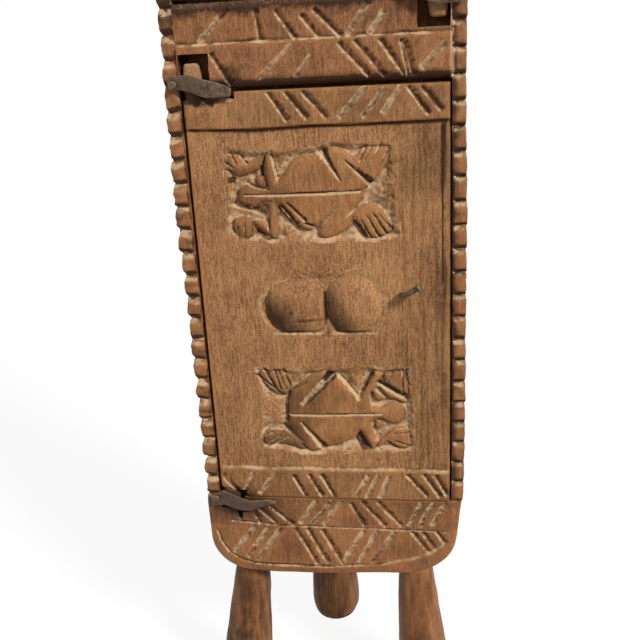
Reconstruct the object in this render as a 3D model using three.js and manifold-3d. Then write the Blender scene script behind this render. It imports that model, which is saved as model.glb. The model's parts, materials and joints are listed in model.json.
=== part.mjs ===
// Carved wooden box with two doors, on three legs, millimetres, +Z up.
//
// The body, with its back, walls, crosspiece, ends and legs, is hollowed from one log. Each door
// turns on two pegs cut from its own board. The pegs lie in notches that open at the front, and a
// forged iron strap nailed over each notch keeps the peg in. A bent nail is each door's pull.
//
// While it is modelled, x runs to the right along the front, y runs back from the front face and z
// runs up from the underside of the box. The upper door, its notches and its straps are the lower
// ones turned half a turn in the plane of the front.
import * as THREE from 'three';
import { mergeVertices } from 'three/addons/utils/BufferGeometryUtils.js';
import Module from 'manifold-3d';

const wasm = await Module();
wasm.setup();

// Doors
const doorWidth = 187.5;
const doorHeight = 322;
const doorThick = 16;
const doorSideGap = 1.75;
const doorFootGap = 0.3;
const doorHeadGap = 2.5;
const doorBackGap = 0.4;
const headBand = 24.5;
const footBand = 26.5;
const bandRise = 2;
const frontCornerRadius = 6;

// Frame of the box
const endBlock = 70.2;
const crossHeight = 56.6;
const beadWidth = 9.5;
const beadPitch = 16.85;
const beadDepth = 9.5;
const beadGroove = 2.6;
const beadGrooveHalf = 3.2;
const beadStart = 7.4;
const sideSwell = 1.5;
const endRadius = 36;
const arris = 2;
const boxDepth = 150;
const flatSideDepth = 70;
const backEndRadius = 26;
const ledge = 6;
const wallThick = 14;
const crossRound = 8;
const rowGroove = 1.8;
const rowGrooveHalf = 1.6;
const endRowHeight = 43.5;
const endRowInset = 12;

// Pegs and their notches
const pegRadius = 7.5;
const pegTipRadius = 5.4;
const pegTaper = 9.6;
const pegLength = 20.1;
const pegRoot = 14;
const pegSideGap = 0.4;
const pegBackGap = 1.2;
const headNotchWidth = 22;
const headNotchHeight = 24;
const footNotchWidth = 20;
const footNotchHeight = 20.6;

// Iron straps and their nails
const strapThick = 2.2;
const strapBow = 2.6;
const bowStart = 0.17;
const bowEnd = 0.92;
const strapOverhang = 16;
const headStrapLength = 45;
const headStrapHeight = 16.2;
const headStrapDrop = 6;
const footStrapLength = 54.5;
const footStrapHeight = 17.2;
const footStrapDrop = 9.8;
const footStrapStep = 0.61;
const strapMargin = 1.4;
const spurWidth = 4;
const spurHeight = 2.8;
const spurDepth = 12;
const nailRadius = 1.3;
const nailHeadRadius = 3;
const nailHeadHeight = 1.6;
const nailLength = 26;
const seat = 0.3;

// Pull nails
const pullRadius = 2;
const pullHeadRadius = 3.8;
const pullHeadThick = 2.6;
const pullGrip = 9;
const pullReach = 12;
const pullRise = 8.5;
const pullRun = 14;
const pullFromFree = 36;
const pullHeight = 173;

// Carving
const groundDepth = 4;
const frogReach = 62;
const frogRise = 87.5;
const frogDrop = 85;
const upperFrogShift = -2;
const lowerFrogShift = 4;
const panelLength = 125.4;
const upperPanelHeight = 69.2;
const lowerPanelHeight = 73.4;
const domeRadius = 22.6;
const domeHeight = 9;
const domeBetween = 46.8;
const domeMargin = 1.4;

// Legs
const legLength = 140;
const leftLegInset = 28.2;
const rightLegInset = 40.2;
const frontLegInset = 24.5;
const rearLegInset = 22;
const rearLegShift = -20.5;
const leftLegLean = 16.6;
const rightLegLean = 9.4;
const rearLegLean = 9;
const legTopRadius = 14;
const footRadius = 25;
const footFlat = 18;
const footRound = 9;
const legRoot = 30;

// Places that follow from the sizes above
const openingHalf = doorWidth / 2 + doorSideGap;
const openingHeight = doorHeight + doorFootGap + doorHeadGap;
const openingTop = endBlock + openingHeight;
const boxHeight = 2 * openingTop + crossHeight;
const halfWidth = openingHalf + beadWidth;
const doorLeft = -doorWidth / 2;
const doorFoot = endBlock + doorFootGap;
const doorHead = doorFoot + doorHeight;
const pivotBack = doorThick / 2;
const pivotX = doorLeft + pivotBack;
const ledgeFront = doorThick + doorBackGap;
const notchLeft = pivotX - pegRadius - pegSideGap;
const notchBack = pivotBack + pegRadius + pegBackGap;
const strapLeft = pivotX - strapOverhang;
const groundLevel = bandRise + groundDepth;
const beyond = 2;

// Solids

function solidOf(geometry) {
  const bare = geometry.clone();
  bare.deleteAttribute('normal');
  bare.deleteAttribute('uv');
  const merged = mergeVertices(bare, 1e-4);
  const vertProperties = new Float32Array(merged.attributes.position.array);
  const triVerts = new Uint32Array(merged.index.array);
  return new wasm.Manifold(new wasm.Mesh({ numProp: 3, vertProperties, triVerts }));
}

function joined(geometries) {
  return wasm.Manifold.union(geometries.map(solidOf));
}

function meshOf(name, solid, material) {
  const { vertProperties, triVerts } = solid.getMesh();
  const geometry = new THREE.BufferGeometry();
  geometry.setAttribute('position', new THREE.BufferAttribute(new Float32Array(vertProperties), 3));
  geometry.setIndex(new THREE.BufferAttribute(new Uint32Array(triVerts), 1));
  geometry.computeVertexNormals();
  const mesh = new THREE.Mesh(geometry, material);
  mesh.name = name;
  return mesh;
}

// A shape drawn in x and z, as seen from the front, given a depth from y0 back to y1.
function throughDepth(shape, y0, y1, curveSegments = 6) {
  const geometry = new THREE.ExtrudeGeometry(shape, {
    depth: y1 - y0, bevelEnabled: false, curveSegments,
  });
  return geometry.rotateX(Math.PI / 2).translate(0, y1, 0);
}

// A shape drawn in x and y, as seen from above, raised from z0 to z1.
function throughHeight(shape, z0, z1, curveSegments = 6) {
  const geometry = new THREE.ExtrudeGeometry(shape, {
    depth: z1 - z0, bevelEnabled: false, curveSegments,
  });
  return geometry.translate(0, 0, z0);
}

// A shape drawn in y and z, as seen from the right, drawn out from x0 to x1.
function throughWidth(shape, x0, x1, curveSegments = 6) {
  const geometry = new THREE.ExtrudeGeometry(shape, {
    depth: x1 - x0, bevelEnabled: false, curveSegments,
  });
  const turn = new THREE.Matrix4().makeBasis(
    new THREE.Vector3(0, 1, 0), new THREE.Vector3(0, 0, 1), new THREE.Vector3(1, 0, 0));
  return geometry.applyMatrix4(turn).translate(x0, 0, 0);
}

function polygon(points) {
  return new THREE.Shape(points.map(([a, b]) => new THREE.Vector2(a, b)));
}

function block(x0, x1, y0, y1, z0, z1) {
  const geometry = new THREE.BoxGeometry(x1 - x0, y1 - y0, z1 - z0);
  return geometry.translate((x0 + x1) / 2, (y0 + y1) / 2, (z0 + z1) / 2);
}

// The place that a half turn in the plane of the front takes a piece to.
function turnedOver(geometry) {
  return geometry.clone().rotateY(Math.PI).translate(0, 0, boxHeight);
}

function withTurned(geometries) {
  return [...geometries, ...geometries.map(turnedOver)];
}

// A turned form about an upright axis: its profile is a list of radius and height.
function turnedForm(profile, x, y, segments) {
  const points = profile.map(([r, z]) => new THREE.Vector2(r, z));
  return new THREE.LatheGeometry(points, segments).rotateX(Math.PI / 2).translate(x, y, 0);
}

// Body

// The sides swell a little beside each door and draw in at the crosspiece and at the ends.
function sideAt(z) {
  return halfWidth - sideSwell * Math.cos(4 * Math.PI * z / boxHeight);
}

function frontOutline() {
  const shape = new THREE.Shape();
  const inner = sideAt(endRadius) - endRadius;
  const top = boxHeight - endRadius;
  const steps = 24;
  const sideHeights = [];
  for (let i = 1; i < steps; i += 1) sideHeights.push(endRadius + (top - endRadius) * i / steps);
  shape.moveTo(-inner, 0);
  shape.lineTo(inner, 0);
  shape.absarc(inner, endRadius, endRadius, -Math.PI / 2, 0);
  for (const z of sideHeights) shape.lineTo(sideAt(z), z);
  shape.absarc(inner, top, endRadius, 0, Math.PI / 2);
  shape.absarc(-inner, top, endRadius, Math.PI / 2, Math.PI);
  for (const z of sideHeights.toReversed()) shape.lineTo(-sideAt(z), z);
  shape.absarc(-inner, endRadius, endRadius, Math.PI, Math.PI * 1.5);
  return shape;
}

// The log's own roundness is left at the back.
function planOutline(half, front, depth) {
  const shape = new THREE.Shape();
  shape.moveTo(-half, front);
  shape.lineTo(half, front);
  shape.lineTo(half, flatSideDepth);
  shape.absellipse(0, flatSideDepth, half, depth - flatSideDepth, 0, Math.PI);
  return shape;
}

function sideOutline() {
  const shape = new THREE.Shape();
  const r = backEndRadius;
  shape.moveTo(-beyond, 0);
  shape.lineTo(boxDepth - r, 0);
  shape.absarc(boxDepth - r, r, r, -Math.PI / 2, 0);
  shape.absarc(boxDepth - r, boxHeight - r, r, 0, Math.PI / 2);
  shape.lineTo(-beyond, boxHeight);
  return shape;
}

function bodyCore() {
  const slab = new THREE.ExtrudeGeometry(frontOutline(), {
    depth: boxDepth, bevelEnabled: true, bevelThickness: arris, bevelSize: arris,
    bevelOffset: -arris, bevelSegments: 1, curveSegments: 8,
  });
  slab.rotateX(Math.PI / 2).translate(0, boxDepth + arris, 0);
  const plan = planOutline(halfWidth + sideSwell, -beyond, boxDepth);
  return solidOf(slab)
    .intersect(solidOf(throughHeight(plan, -beyond, boxHeight + beyond, 12)))
    .intersect(solidOf(throughWidth(sideOutline(), -2 * halfWidth, 2 * halfWidth)));
}

// Grooves cut round the front corner make the row of beads on each side.
function beadGrooves() {
  const first = endBlock + beadStart;
  const span = boxHeight - 2 * first;
  const beads = Math.round(span / beadPitch);
  const slope = beadGrooveHalf / beadGroove;
  const mouth = beadGrooveHalf + beyond * slope;
  const cuts = [];
  for (let i = 0; i <= beads; i += 1) {
    const z = first + span * i / beads;
    const front = polygon([[-beyond, z - mouth], [beadGroove, z], [-beyond, z + mouth]]);
    const edge = sideAt(z);
    const flank = polygon([
      [edge + beyond, z - mouth], [edge + beyond, z + mouth], [edge - beadGroove, z],
    ]);
    const turn = throughWidth(front, openingHalf - beyond / 2, halfWidth + 2 * beyond);
    const wrap = throughDepth(flank, -beyond, beadDepth);
    cuts.push(solidOf(turn).add(solidOf(wrap)));
    cuts.push(solidOf(turn.clone().rotateZ(Math.PI).rotateX(Math.PI).translate(0, 0, 2 * z))
      .add(solidOf(wrap.clone().rotateZ(Math.PI).rotateX(Math.PI).translate(0, 0, 2 * z))));
  }
  return wasm.Manifold.union(cuts);
}

// A notch to take the door's peg, open at the front, and one for the spur of the strap over it.
function notches() {
  return [
    block(notchLeft, notchLeft + headNotchWidth, -beyond, notchBack,
      openingTop - beyond, openingTop + headNotchHeight),
    block(notchLeft, notchLeft + footNotchWidth, -beyond, notchBack,
      endBlock - footNotchHeight, endBlock + beyond),
    ...[headStrap, footStrap].map((strap) => spurOf(strap, seat)),
    ...[headStrap, footStrap].map((strap) => nailShank(strap, seat, nailLength + beyond)),
  ];
}

function hollows() {
  const front = block(-openingHalf, openingHalf, -beyond, ledgeFront, endBlock, openingTop);
  const plan = planOutline(openingHalf - ledge, ledgeFront - beyond / 2, boxDepth - wallThick);
  const room = throughHeight(plan, endBlock + ledge, openingTop - ledge, 10);
  return [front, room];
}

// The crosspiece is rounded over above the lower door, clear of the notch, and a groove
// parts it from the beads. One groove divides its two rows of carving, and one each end block's.
function frontGrooves() {
  const right = openingHalf + beyond / 2;
  const left = strapLeft + headStrapLength;
  const corner = new THREE.Shape();
  corner.moveTo(-beyond, openingTop - beyond);
  corner.lineTo(crossRound, openingTop - beyond);
  corner.lineTo(crossRound, openingTop);
  corner.absarc(crossRound, openingTop + crossRound, crossRound, -Math.PI / 2, -Math.PI, true);
  corner.lineTo(-beyond, openingTop + crossRound);
  const row = (z) => polygon([
    [-beyond, z - 2 * rowGrooveHalf], [rowGroove, z], [-beyond, z + 2 * rowGrooveHalf],
  ]);
  const beside = (x) => polygon([
    [x - 2 * rowGrooveHalf, -beyond], [x + 2 * rowGrooveHalf, -beyond], [x, 2 * rowGroove],
  ]);
  const crossGrooves = [-openingHalf, openingHalf].map((x) =>
    throughHeight(beside(x), openingTop - beyond, openingTop + crossHeight + beyond));
  return [
    ...withTurned([throughWidth(corner, left, right, 4)]),
    throughWidth(row(boxHeight / 2), -openingHalf, openingHalf),
    ...withTurned([throughWidth(row(endRowHeight), endRowInset - openingHalf,
      openingHalf - endRowInset)]),
    ...crossGrooves,
  ];
}

// Each leg widens to its foot. It leans by shear, so that its foot stays flat on the ground.
const legs = [
  { top: [leftLegInset - halfWidth, frontLegInset], lean: [-leftLegLean, 0] },
  { top: [halfWidth - rightLegInset, frontLegInset], lean: [rightLegLean, 0] },
  { top: [rearLegShift, boxDepth - rearLegInset], lean: [0, rearLegLean] },
];

function leg({ top, lean }) {
  const widen = (footRadius - legTopRadius) / legLength;
  const form = turnedForm([
    [0, -legLength], [footFlat, -legLength], [footRadius - 1.5, footRound / 2 - legLength],
    [footRadius - widen * footRound, footRound - legLength],
    [legTopRadius, 0], [legTopRadius - widen * legRoot, legRoot], [0, legRoot],
  ], 0, 0, 20);
  const shear = new THREE.Matrix4().makeShear(
    0, 0, 0, 0, -lean[0] / legLength, -lean[1] / legLength);
  return form.applyMatrix4(shear).translate(top[0], top[1], 0);
}

function body() {
  return bodyCore()
    .subtract(joined(withTurned(hollows())))
    .subtract(beadGrooves())
    .subtract(joined(withTurned(notches())))
    .subtract(joined(frontGrooves()))
    .add(joined(legs.map(leg)));
}

// Doors

// Seen from above: the back of the hinge edge is round about the pegs' own axis, to turn clear
// of the ledge, and its front corner is eased, to turn clear of the beads.
function doorPlan() {
  const shape = new THREE.Shape();
  const right = doorLeft + doorWidth;
  shape.moveTo(doorLeft + frontCornerRadius, 0);
  shape.lineTo(right - arris, 0);
  shape.lineTo(right, arris);
  shape.lineTo(right, doorThick);
  shape.lineTo(pivotX, doorThick);
  shape.absarc(pivotX, pivotBack, pivotBack, Math.PI / 2, Math.PI);
  shape.absarc(doorLeft + frontCornerRadius, frontCornerRadius, frontCornerRadius,
    Math.PI, Math.PI * 1.5);
  return shape;
}

// The corners beside the straps are cut away, so that the door swings past them.
function strapClearance() {
  const headEnd = strapLeft + headStrapLength + 2 * strapMargin;
  const headCut = openingTop - headStrapDrop - strapMargin;
  const footTop = endBlock - footStrapDrop + footStrapHeight;
  const across = strapLeft + footStrapStep * footStrapLength - pivotX;
  const ahead = pivotBack + seat + strapBow + strapThick;
  const footEnd = pivotX + Math.hypot(across, ahead) + strapMargin;
  const foot = polygon([
    [doorLeft - beyond, doorFoot - beyond], [footEnd + 1, doorFoot - beyond],
    [footEnd, footTop + strapMargin], [pivotX + pegRadius, footTop + 2 * strapMargin],
    [doorLeft - beyond, footTop + 4 * strapMargin],
  ]);
  return [
    block(doorLeft - beyond, headEnd, -beyond, doorThick + beyond, headCut, doorHead + beyond),
    throughDepth(foot, -beyond, doorThick + beyond),
  ];
}

function pegs() {
  const headRoot = openingTop - headStrapDrop - strapMargin;
  const footRoot = doorFoot + pegRoot;
  const top = doorHead + pegLength;
  const bottom = doorFoot - pegLength + 0.6;
  return [
    turnedForm([[0, headRoot - pegRoot], [pegRadius, headRoot - pegRoot],
      [pegRadius, top - pegTaper], [pegTipRadius, top], [0, top]], pivotX, pivotBack, 16),
    turnedForm([[0, bottom], [pegTipRadius, bottom], [pegRadius, bottom + pegTaper],
      [pegRadius, footRoot], [0, footRoot]], pivotX, pivotBack, 16),
  ];
}

function oval(x, z, halfX, halfZ, curveSegments) {
  const shape = new THREE.Shape();
  const start = 0.2;
  shape.absellipse(x, z, halfX, halfZ, start, start + Math.PI * 2);
  return throughDepth(shape, -beyond, groundLevel + beyond, curveSegments);
}

// The straight taper of a limb from one joint to the next.
function stretch([x0, z0, r0], [x1, z1, r1]) {
  const along = Math.atan2(z1 - z0, x1 - x0);
  const across = [-Math.sin(along), Math.cos(along)];
  return throughDepth(polygon([
    [x0 + across[0] * r0, z0 + across[1] * r0], [x0 - across[0] * r0, z0 - across[1] * r0],
    [x1 - across[0] * r1, z1 - across[1] * r1], [x1 + across[0] * r1, z1 + across[1] * r1],
  ]), -beyond, groundLevel + beyond);
}

// A frog seen from above, stretched out sideways. Its back and head are a place and two half
// widths, and a limb is a list of joints, each a place and half the limb's width there. All are
// in hundredths of the frog's reach, from the middle of its back.
function frog(x, z, { back, head, limbs }) {
  const unit = frogReach / 100;
  const parts = [
    oval(x + back[0] * unit, z + back[1] * unit, back[2] * unit, back[3] * unit, 9),
    oval(x + head[0] * unit, z + head[1] * unit, head[2] * unit, head[3] * unit, 6),
  ];
  for (const limb of limbs) {
    const placed = limb.map(([dx, dz, r]) => [x + dx * unit, z + dz * unit, r * unit]);
    for (const [px, pz, r] of placed.slice(1)) parts.push(oval(px, pz, r, r, 4));
    for (let i = 1; i < placed.length; i += 1) parts.push(stretch(placed[i - 1], placed[i]));
  }
  return parts;
}

const upperFrog = {
  back: [0, 0, 53, 43],
  head: [-74, -1.6, 23, 14],
  limbs: [
    [[36, 23, 11], [21, 45, 8.9], [64, 14, 7.3], [61, 50, 3.5]],
    [[64, 14, 7.3], [74, 48, 3.5]],
    [[64, 14, 7.3], [86, 50, 3.5]],
    [[39, -26, 11], [1.6, -47, 8.1], [45, -21, 8.1], [61, -52, 3.5]],
    [[45, -21, 8.1], [73, -52, 3.5]],
    [[45, -21, 8.1], [84, -44, 3.5]],
    [[-48, 8.1, 8.1], [-55, 47, 5.6], [-82, 24, 6.5], [-100, 47, 3.2]],
    [[-82, 24, 6.5], [-87, 48, 3.2]],
    [[-48, -11, 8.1], [-53, -50, 5.6], [-74, -29, 4.8], [-90, -36, 8.1], [-100, -52, 3.2]],
    [[-90, -36, 8.1], [-86, -53, 3.2]],
  ],
};

const lowerFrog = {
  back: [0, 0, 58, 48],
  head: [73, 0, 18, 16],
  limbs: [
    [[-45, 9.7, 9.7], [-13, 50, 7.3], [-58, 27, 6.5], [-94, 52, 3.5]],
    [[-58, 27, 6.5], [-81, 56, 3.5]],
    [[-58, 27, 6.5], [-66, 56, 3.5]],
    [[-55, -18, 9.7], [-29, -50, 8.1], [-61, -44, 6.5], [-90, -36, 8.1]],
    [[32, 14, 8.1], [53, 58, 5.6], [89, 23, 5.6], [90, 42, 4.8]],
    [[32, -14, 8.1], [48, -47, 5.6], [90, -26, 4.8], [94, -48, 3.2]],
  ],
};

// A panel is cut down to its ground everywhere but on the figure that it holds.
function sunkPanel(x, z, length, height, figure) {
  const cut = block(x - length / 2, x + length / 2, -beyond, groundLevel,
    z - height / 2, z + height / 2);
  return solidOf(cut).subtract(joined(figure));
}

function domes(z) {
  return [-1, 1].map((side) => {
    const half = new THREE.SphereGeometry(1, 16, 10);
    half.rotateX(Math.PI / 2).scale(domeRadius, domeHeight, domeRadius * 0.93);
    return half.translate(side * domeBetween / 2, groundLevel, z);
  });
}

function pullCentreline(x, z) {
  return new THREE.CatmullRomCurve3([
    new THREE.Vector3(x, bandRise + pullGrip, z),
    new THREE.Vector3(x, bandRise, z),
    new THREE.Vector3(x + pullRun * 0.12, bandRise - pullReach * 0.55, z + pullRise * 0.12),
    new THREE.Vector3(x + pullRun * 0.5, bandRise - pullReach * 0.9, z + pullRise * 0.5),
    new THREE.Vector3(x + pullRun, bandRise - pullReach, z + pullRise),
  ]);
}

const pullX = doorLeft + doorWidth - pullFromFree;
const pullZ = doorFoot + pullHeight;

function door() {
  const board = solidOf(throughHeight(doorPlan(), doorFoot, doorHead, 5));
  const field = block(doorLeft - beyond, doorLeft + doorWidth + beyond, -beyond, bandRise,
    doorFoot + footBand, doorHead - headBand);
  const middle = (doorFoot + doorHead) / 2;
  const upperZ = middle + frogRise;
  const lowerZ = middle - frogDrop;
  const upperX = upperFrogShift;
  const lowerX = lowerFrogShift;
  const domeHalf = domeBetween / 2 + domeRadius + domeMargin;
  const hole = new THREE.CylinderGeometry(pullRadius + seat, pullRadius + seat,
    2 * (pullGrip + seat), 8);
  hole.translate(pullX, bandRise, pullZ);
  return board
    .subtract(joined([field, ...strapClearance(), hole]))
    .subtract(sunkPanel(2 * upperX, upperZ, panelLength, upperPanelHeight,
      frog(upperX, upperZ, upperFrog)))
    .subtract(solidOf(block(-domeHalf, domeHalf, 0, groundLevel,
      middle - domeRadius - domeMargin, middle + domeRadius + domeMargin)))
    .subtract(sunkPanel(lowerX, lowerZ, panelLength, lowerPanelHeight,
      frog(lowerX, lowerZ, lowerFrog)))
    .add(joined(domes(middle)))
    .intersect(solidOf(block(-halfWidth, halfWidth, -3 * domeHeight, doorThick, 0, openingTop)))
    .add(joined(pegs()));
}

// Iron

// A strap's outline is drawn in shares of its length and of its height.
const headStrap = {
  length: headStrapLength,
  height: headStrapHeight,
  bottom: openingTop - headStrapDrop,
  spur: [0.74, 0.55],
  outline: [
    [0.01, 0.96], [0, 0.51], [0.37, 0.26], [0.6, 0], [0.98, 0.02],
    [1, 0.26], [0.92, 0.48], [0.75, 0.66], [0.53, 0.85], [0.37, 1],
  ],
};

const footStrap = {
  length: footStrapLength,
  height: footStrapHeight,
  bottom: endBlock - footStrapDrop,
  spur: [0.8, 0.36],
  outline: [
    [0, 0.64], [0.01, 0.14], [0.2, 0.2], [0.41, 0.03], [0.6, 0], [0.82, 0.2],
    [1, 0.4], [0.87, 0.54], [footStrapStep, 0.54], [0.46, 0.82], [0.32, 0.84], [0.2, 1],
  ],
};

function onStrap({ length, height, bottom }, [u, v]) {
  return [strapLeft + u * length, bottom + v * height];
}

// The plate is bowed where it crosses the open notch and lies flat at both ends.
function strapBack(u) {
  const across = THREE.MathUtils.clamp((u - bowStart) / (bowEnd - bowStart), 0, 1);
  return -seat - strapBow * Math.sin(Math.PI * across) ** 2;
}

// The end of the strap has a spur behind it, driven into the wood beside the notch.
function spurOf(kind, clearance) {
  const [x, z] = onStrap(kind, kind.spur);
  const halfX = spurWidth / 2 + clearance;
  const halfZ = spurHeight / 2 + clearance;
  return block(x - halfX, x + halfX, strapBack(kind.spur[0]) - strapThick / 2,
    spurDepth + clearance, z - halfZ, z + halfZ);
}

const nailPlace = [0.09, 0.6];

function nailShank(strap, clearance, length) {
  const [x, z] = onStrap(strap, nailPlace);
  const front = -seat - strapThick - beyond;
  const shank = new THREE.CylinderGeometry(nailRadius + clearance, nailRadius + clearance, length, 8);
  return shank.translate(x, front + length / 2, z);
}

function strap(kind) {
  const steps = 8;
  const shares = [-0.05];
  for (let i = 0; i <= steps; i += 1) shares.push(bowStart + (bowEnd - bowStart) * i / steps);
  shares.push(1.05);
  const back = shares.map((u) => [strapLeft + u * kind.length, strapBack(u)]);
  const front = back.map(([x, y]) => [x, y - strapThick]);
  const ribbon = polygon([...front, ...back.toReversed()]);
  const outline = polygon(kind.outline.map((share) => onStrap(kind, share)));
  return solidOf(throughHeight(ribbon, kind.bottom - beyond, kind.bottom + kind.height + beyond))
    .intersect(solidOf(throughDepth(outline, -strapThick - 2 * strapBow, beyond)))
    .add(solidOf(spurOf(kind, 0)))
    .subtract(solidOf(nailShank(kind, seat, 4 * beyond)));
}

function strapNail(kind) {
  const [x, z] = onStrap(kind, nailPlace);
  const under = -2 * seat - strapThick;
  const profile = [
    [0, under - nailHeadHeight], [nailHeadRadius * 0.6, under - nailHeadHeight],
    [nailHeadRadius, under - nailHeadHeight * 0.35], [nailHeadRadius, under],
    [nailRadius, under], [nailRadius, under + nailLength - 4],
    [nailRadius * 0.3, under + nailLength], [0, under + nailLength],
  ];
  const points = profile.map(([r, y]) => new THREE.Vector2(r, y));
  return solidOf(new THREE.LatheGeometry(points, 10).translate(x, 0, z));
}

function pull() {
  const curve = pullCentreline(pullX, pullZ);
  const section = new THREE.Shape();
  section.absarc(0, 0, pullRadius, 0, Math.PI * 2);
  const shank = new THREE.ExtrudeGeometry(section, {
    steps: 14, curveSegments: 4, extrudePath: curve,
  });
  const tip = curve.getPoint(1);
  const along = curve.getTangent(1);
  const head = new THREE.CylinderGeometry(pullHeadRadius * 0.8, pullHeadRadius, pullHeadThick, 7);
  head.applyQuaternion(new THREE.Quaternion().setFromUnitVectors(new THREE.Vector3(0, 1, 0), along));
  head.translate(tip.x, tip.y, tip.z);
  return solidOf(shank).add(solidOf(head));
}

// Materials

const wood = new THREE.MeshStandardMaterial({ color: 0x8d6441, roughness: 0.75, metalness: 0 });
const doorWood = new THREE.MeshStandardMaterial({ color: 0x94704c, roughness: 0.75, metalness: 0 });
const iron = new THREE.MeshStandardMaterial({ color: 0x4a423c, roughness: 0.7, metalness: 0.6 });

// Assembly

function turnedCopy(mesh, name) {
  const copy = new THREE.Mesh(mesh.geometry, mesh.material);
  copy.name = name;
  copy.rotation.y = Math.PI;
  copy.position.z = boxHeight;
  return copy;
}

const lowerPieces = {
  door: meshOf('lower_door', door(), doorWood),
  door_pull: meshOf('lower_door_pull', pull(), iron),
  door_head_strap: meshOf('lower_door_head_strap', strap(headStrap), iron),
  door_foot_strap: meshOf('lower_door_foot_strap', strap(footStrap), iron),
  door_head_strap_nail: meshOf('lower_door_head_strap_nail', strapNail(headStrap), iron),
  door_foot_strap_nail: meshOf('lower_door_foot_strap_nail', strapNail(footStrap), iron),
};

const box = new THREE.Group();
box.add(meshOf('box_body', body(), wood));
for (const [part, mesh] of Object.entries(lowerPieces)) {
  box.add(mesh);
  box.add(turnedCopy(mesh, `upper_${part}`));
}

// The origin is on the ground, under the middle of the whole.
const reach = new THREE.Box3().setFromObject(box, true);
const middle = reach.getCenter(new THREE.Vector3());
box.position.set(-middle.x, -middle.y, -reach.min.z);

const carvedBox = new THREE.Group();
carvedBox.add(box);

export default carvedBox;
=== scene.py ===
# Carved wooden box on three legs: two doors on wooden pegs, iron straps and bent nails.
import math

import bpy
import numpy as np
from mathutils import Matrix, Vector
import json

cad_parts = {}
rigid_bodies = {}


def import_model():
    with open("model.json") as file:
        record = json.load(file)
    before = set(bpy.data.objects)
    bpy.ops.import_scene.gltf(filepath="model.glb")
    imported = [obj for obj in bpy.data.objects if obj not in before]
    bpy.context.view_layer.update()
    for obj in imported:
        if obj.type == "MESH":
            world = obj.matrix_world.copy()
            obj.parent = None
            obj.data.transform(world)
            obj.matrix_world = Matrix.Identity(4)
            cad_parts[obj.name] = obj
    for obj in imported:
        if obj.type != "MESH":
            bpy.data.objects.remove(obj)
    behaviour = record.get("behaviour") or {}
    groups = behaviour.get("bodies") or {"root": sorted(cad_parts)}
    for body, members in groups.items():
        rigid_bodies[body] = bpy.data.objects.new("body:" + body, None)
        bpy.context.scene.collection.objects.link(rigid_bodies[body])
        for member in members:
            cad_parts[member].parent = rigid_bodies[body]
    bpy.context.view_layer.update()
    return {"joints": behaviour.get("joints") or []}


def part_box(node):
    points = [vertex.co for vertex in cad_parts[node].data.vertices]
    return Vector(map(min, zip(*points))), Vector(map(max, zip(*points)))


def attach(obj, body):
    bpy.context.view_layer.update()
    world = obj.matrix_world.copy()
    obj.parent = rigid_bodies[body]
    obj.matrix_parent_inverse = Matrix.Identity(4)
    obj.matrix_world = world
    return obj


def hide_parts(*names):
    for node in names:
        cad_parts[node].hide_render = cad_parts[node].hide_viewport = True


for thing in list(bpy.data.objects):
    bpy.data.objects.remove(thing)
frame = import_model()


# Camera and light.
# The camera stands to the right of the box and above its middle, and looks down at the lower door.
# Places are in millimetres: x to the right, y back from the front, z up from the box's underside.
BOX_HEIGHT = 846.6
PEG_BACK = 8.0
hinge = {joint["name"]: joint for joint in frame["joints"]}["lower_door_hinge"]["pos_m"]
door_low, door_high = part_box("lower_door")
CORNER = np.array([
    (door_low.x + door_high.x) / 2,
    hinge[1] - PEG_BACK / 1000,
    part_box("box_body")[1].z - BOX_HEIGHT / 1000,
])


def in_frame(points):
    """Places on the box, in millimetres, as places in the frame, in metres."""
    return np.asarray(points, float) / 1000 + CORNER


CAMERA_PLACE = (81.96, -564.85, 415.28)
CAMERA_YAW = 0.149369
CAMERA_PITCH = 0.322102
CAMERA_ROLL = -0.052589
LENS = 45
FILM_WIDTH = 36


def stood(name, data):
    """A new object in the scene, at its origin."""
    thing = bpy.data.objects.new(name, data)
    bpy.context.scene.collection.objects.link(thing)
    return thing


ahead = Vector((
    -math.sin(CAMERA_YAW) * math.cos(CAMERA_PITCH),
    math.cos(CAMERA_YAW) * math.cos(CAMERA_PITCH),
    -math.sin(CAMERA_PITCH),
))
level = Vector((math.cos(CAMERA_YAW), math.sin(CAMERA_YAW), 0))
upward = level.cross(ahead)
right = math.cos(CAMERA_ROLL) * level + math.sin(CAMERA_ROLL) * upward
upward = math.cos(CAMERA_ROLL) * upward - math.sin(CAMERA_ROLL) * level
camera = stood("camera", bpy.data.cameras.new("camera"))
camera.data.lens = LENS
camera.data.sensor_width = FILM_WIDTH
camera.data.sensor_fit = "HORIZONTAL"
camera.data.clip_start = 0.01
camera.matrix_world = (
    Matrix.Translation(in_frame(CAMERA_PLACE))
    @ Matrix((right, upward, -ahead)).transposed().to_4x4()
)
bpy.context.scene.camera = camera
bpy.context.scene.view_settings.view_transform = "Standard"

# Each lamp has the way to its light, its strength, and how many degrees wide it looks.
LAMPS = {
    "key_light": ((0.8, -0.62, 0.7), 3.5, 10),
    "fill_light": ((-0.7, -0.6, 0.25), 0.3, 40),
    "back_light": ((-0.45, 0.8, 0.45), 1.2, 25),
}
for name, (toward_light, strength, softness) in LAMPS.items():
    lamp = bpy.data.lights.new(name, "SUN")
    lamp.energy = strength
    lamp.angle = math.radians(softness)
    holder = stood(name, lamp)
    holder.rotation_mode = "QUATERNION"
    holder.rotation_quaternion = Vector(toward_light).to_track_quat("Z", "Y")


def add(tree, kind, inputs=None, **settings):
    """A new node with its settings, and its inputs set to values or linked to sockets."""
    node = tree.nodes.new(kind)
    for setting, value in settings.items():
        setattr(node, setting, value)
    for key, value in (inputs or {}).items():
        if isinstance(value, bpy.types.NodeSocket):
            tree.links.new(value, node.inputs[key])
        else:
            node.inputs[key].default_value = value
    return node


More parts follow.
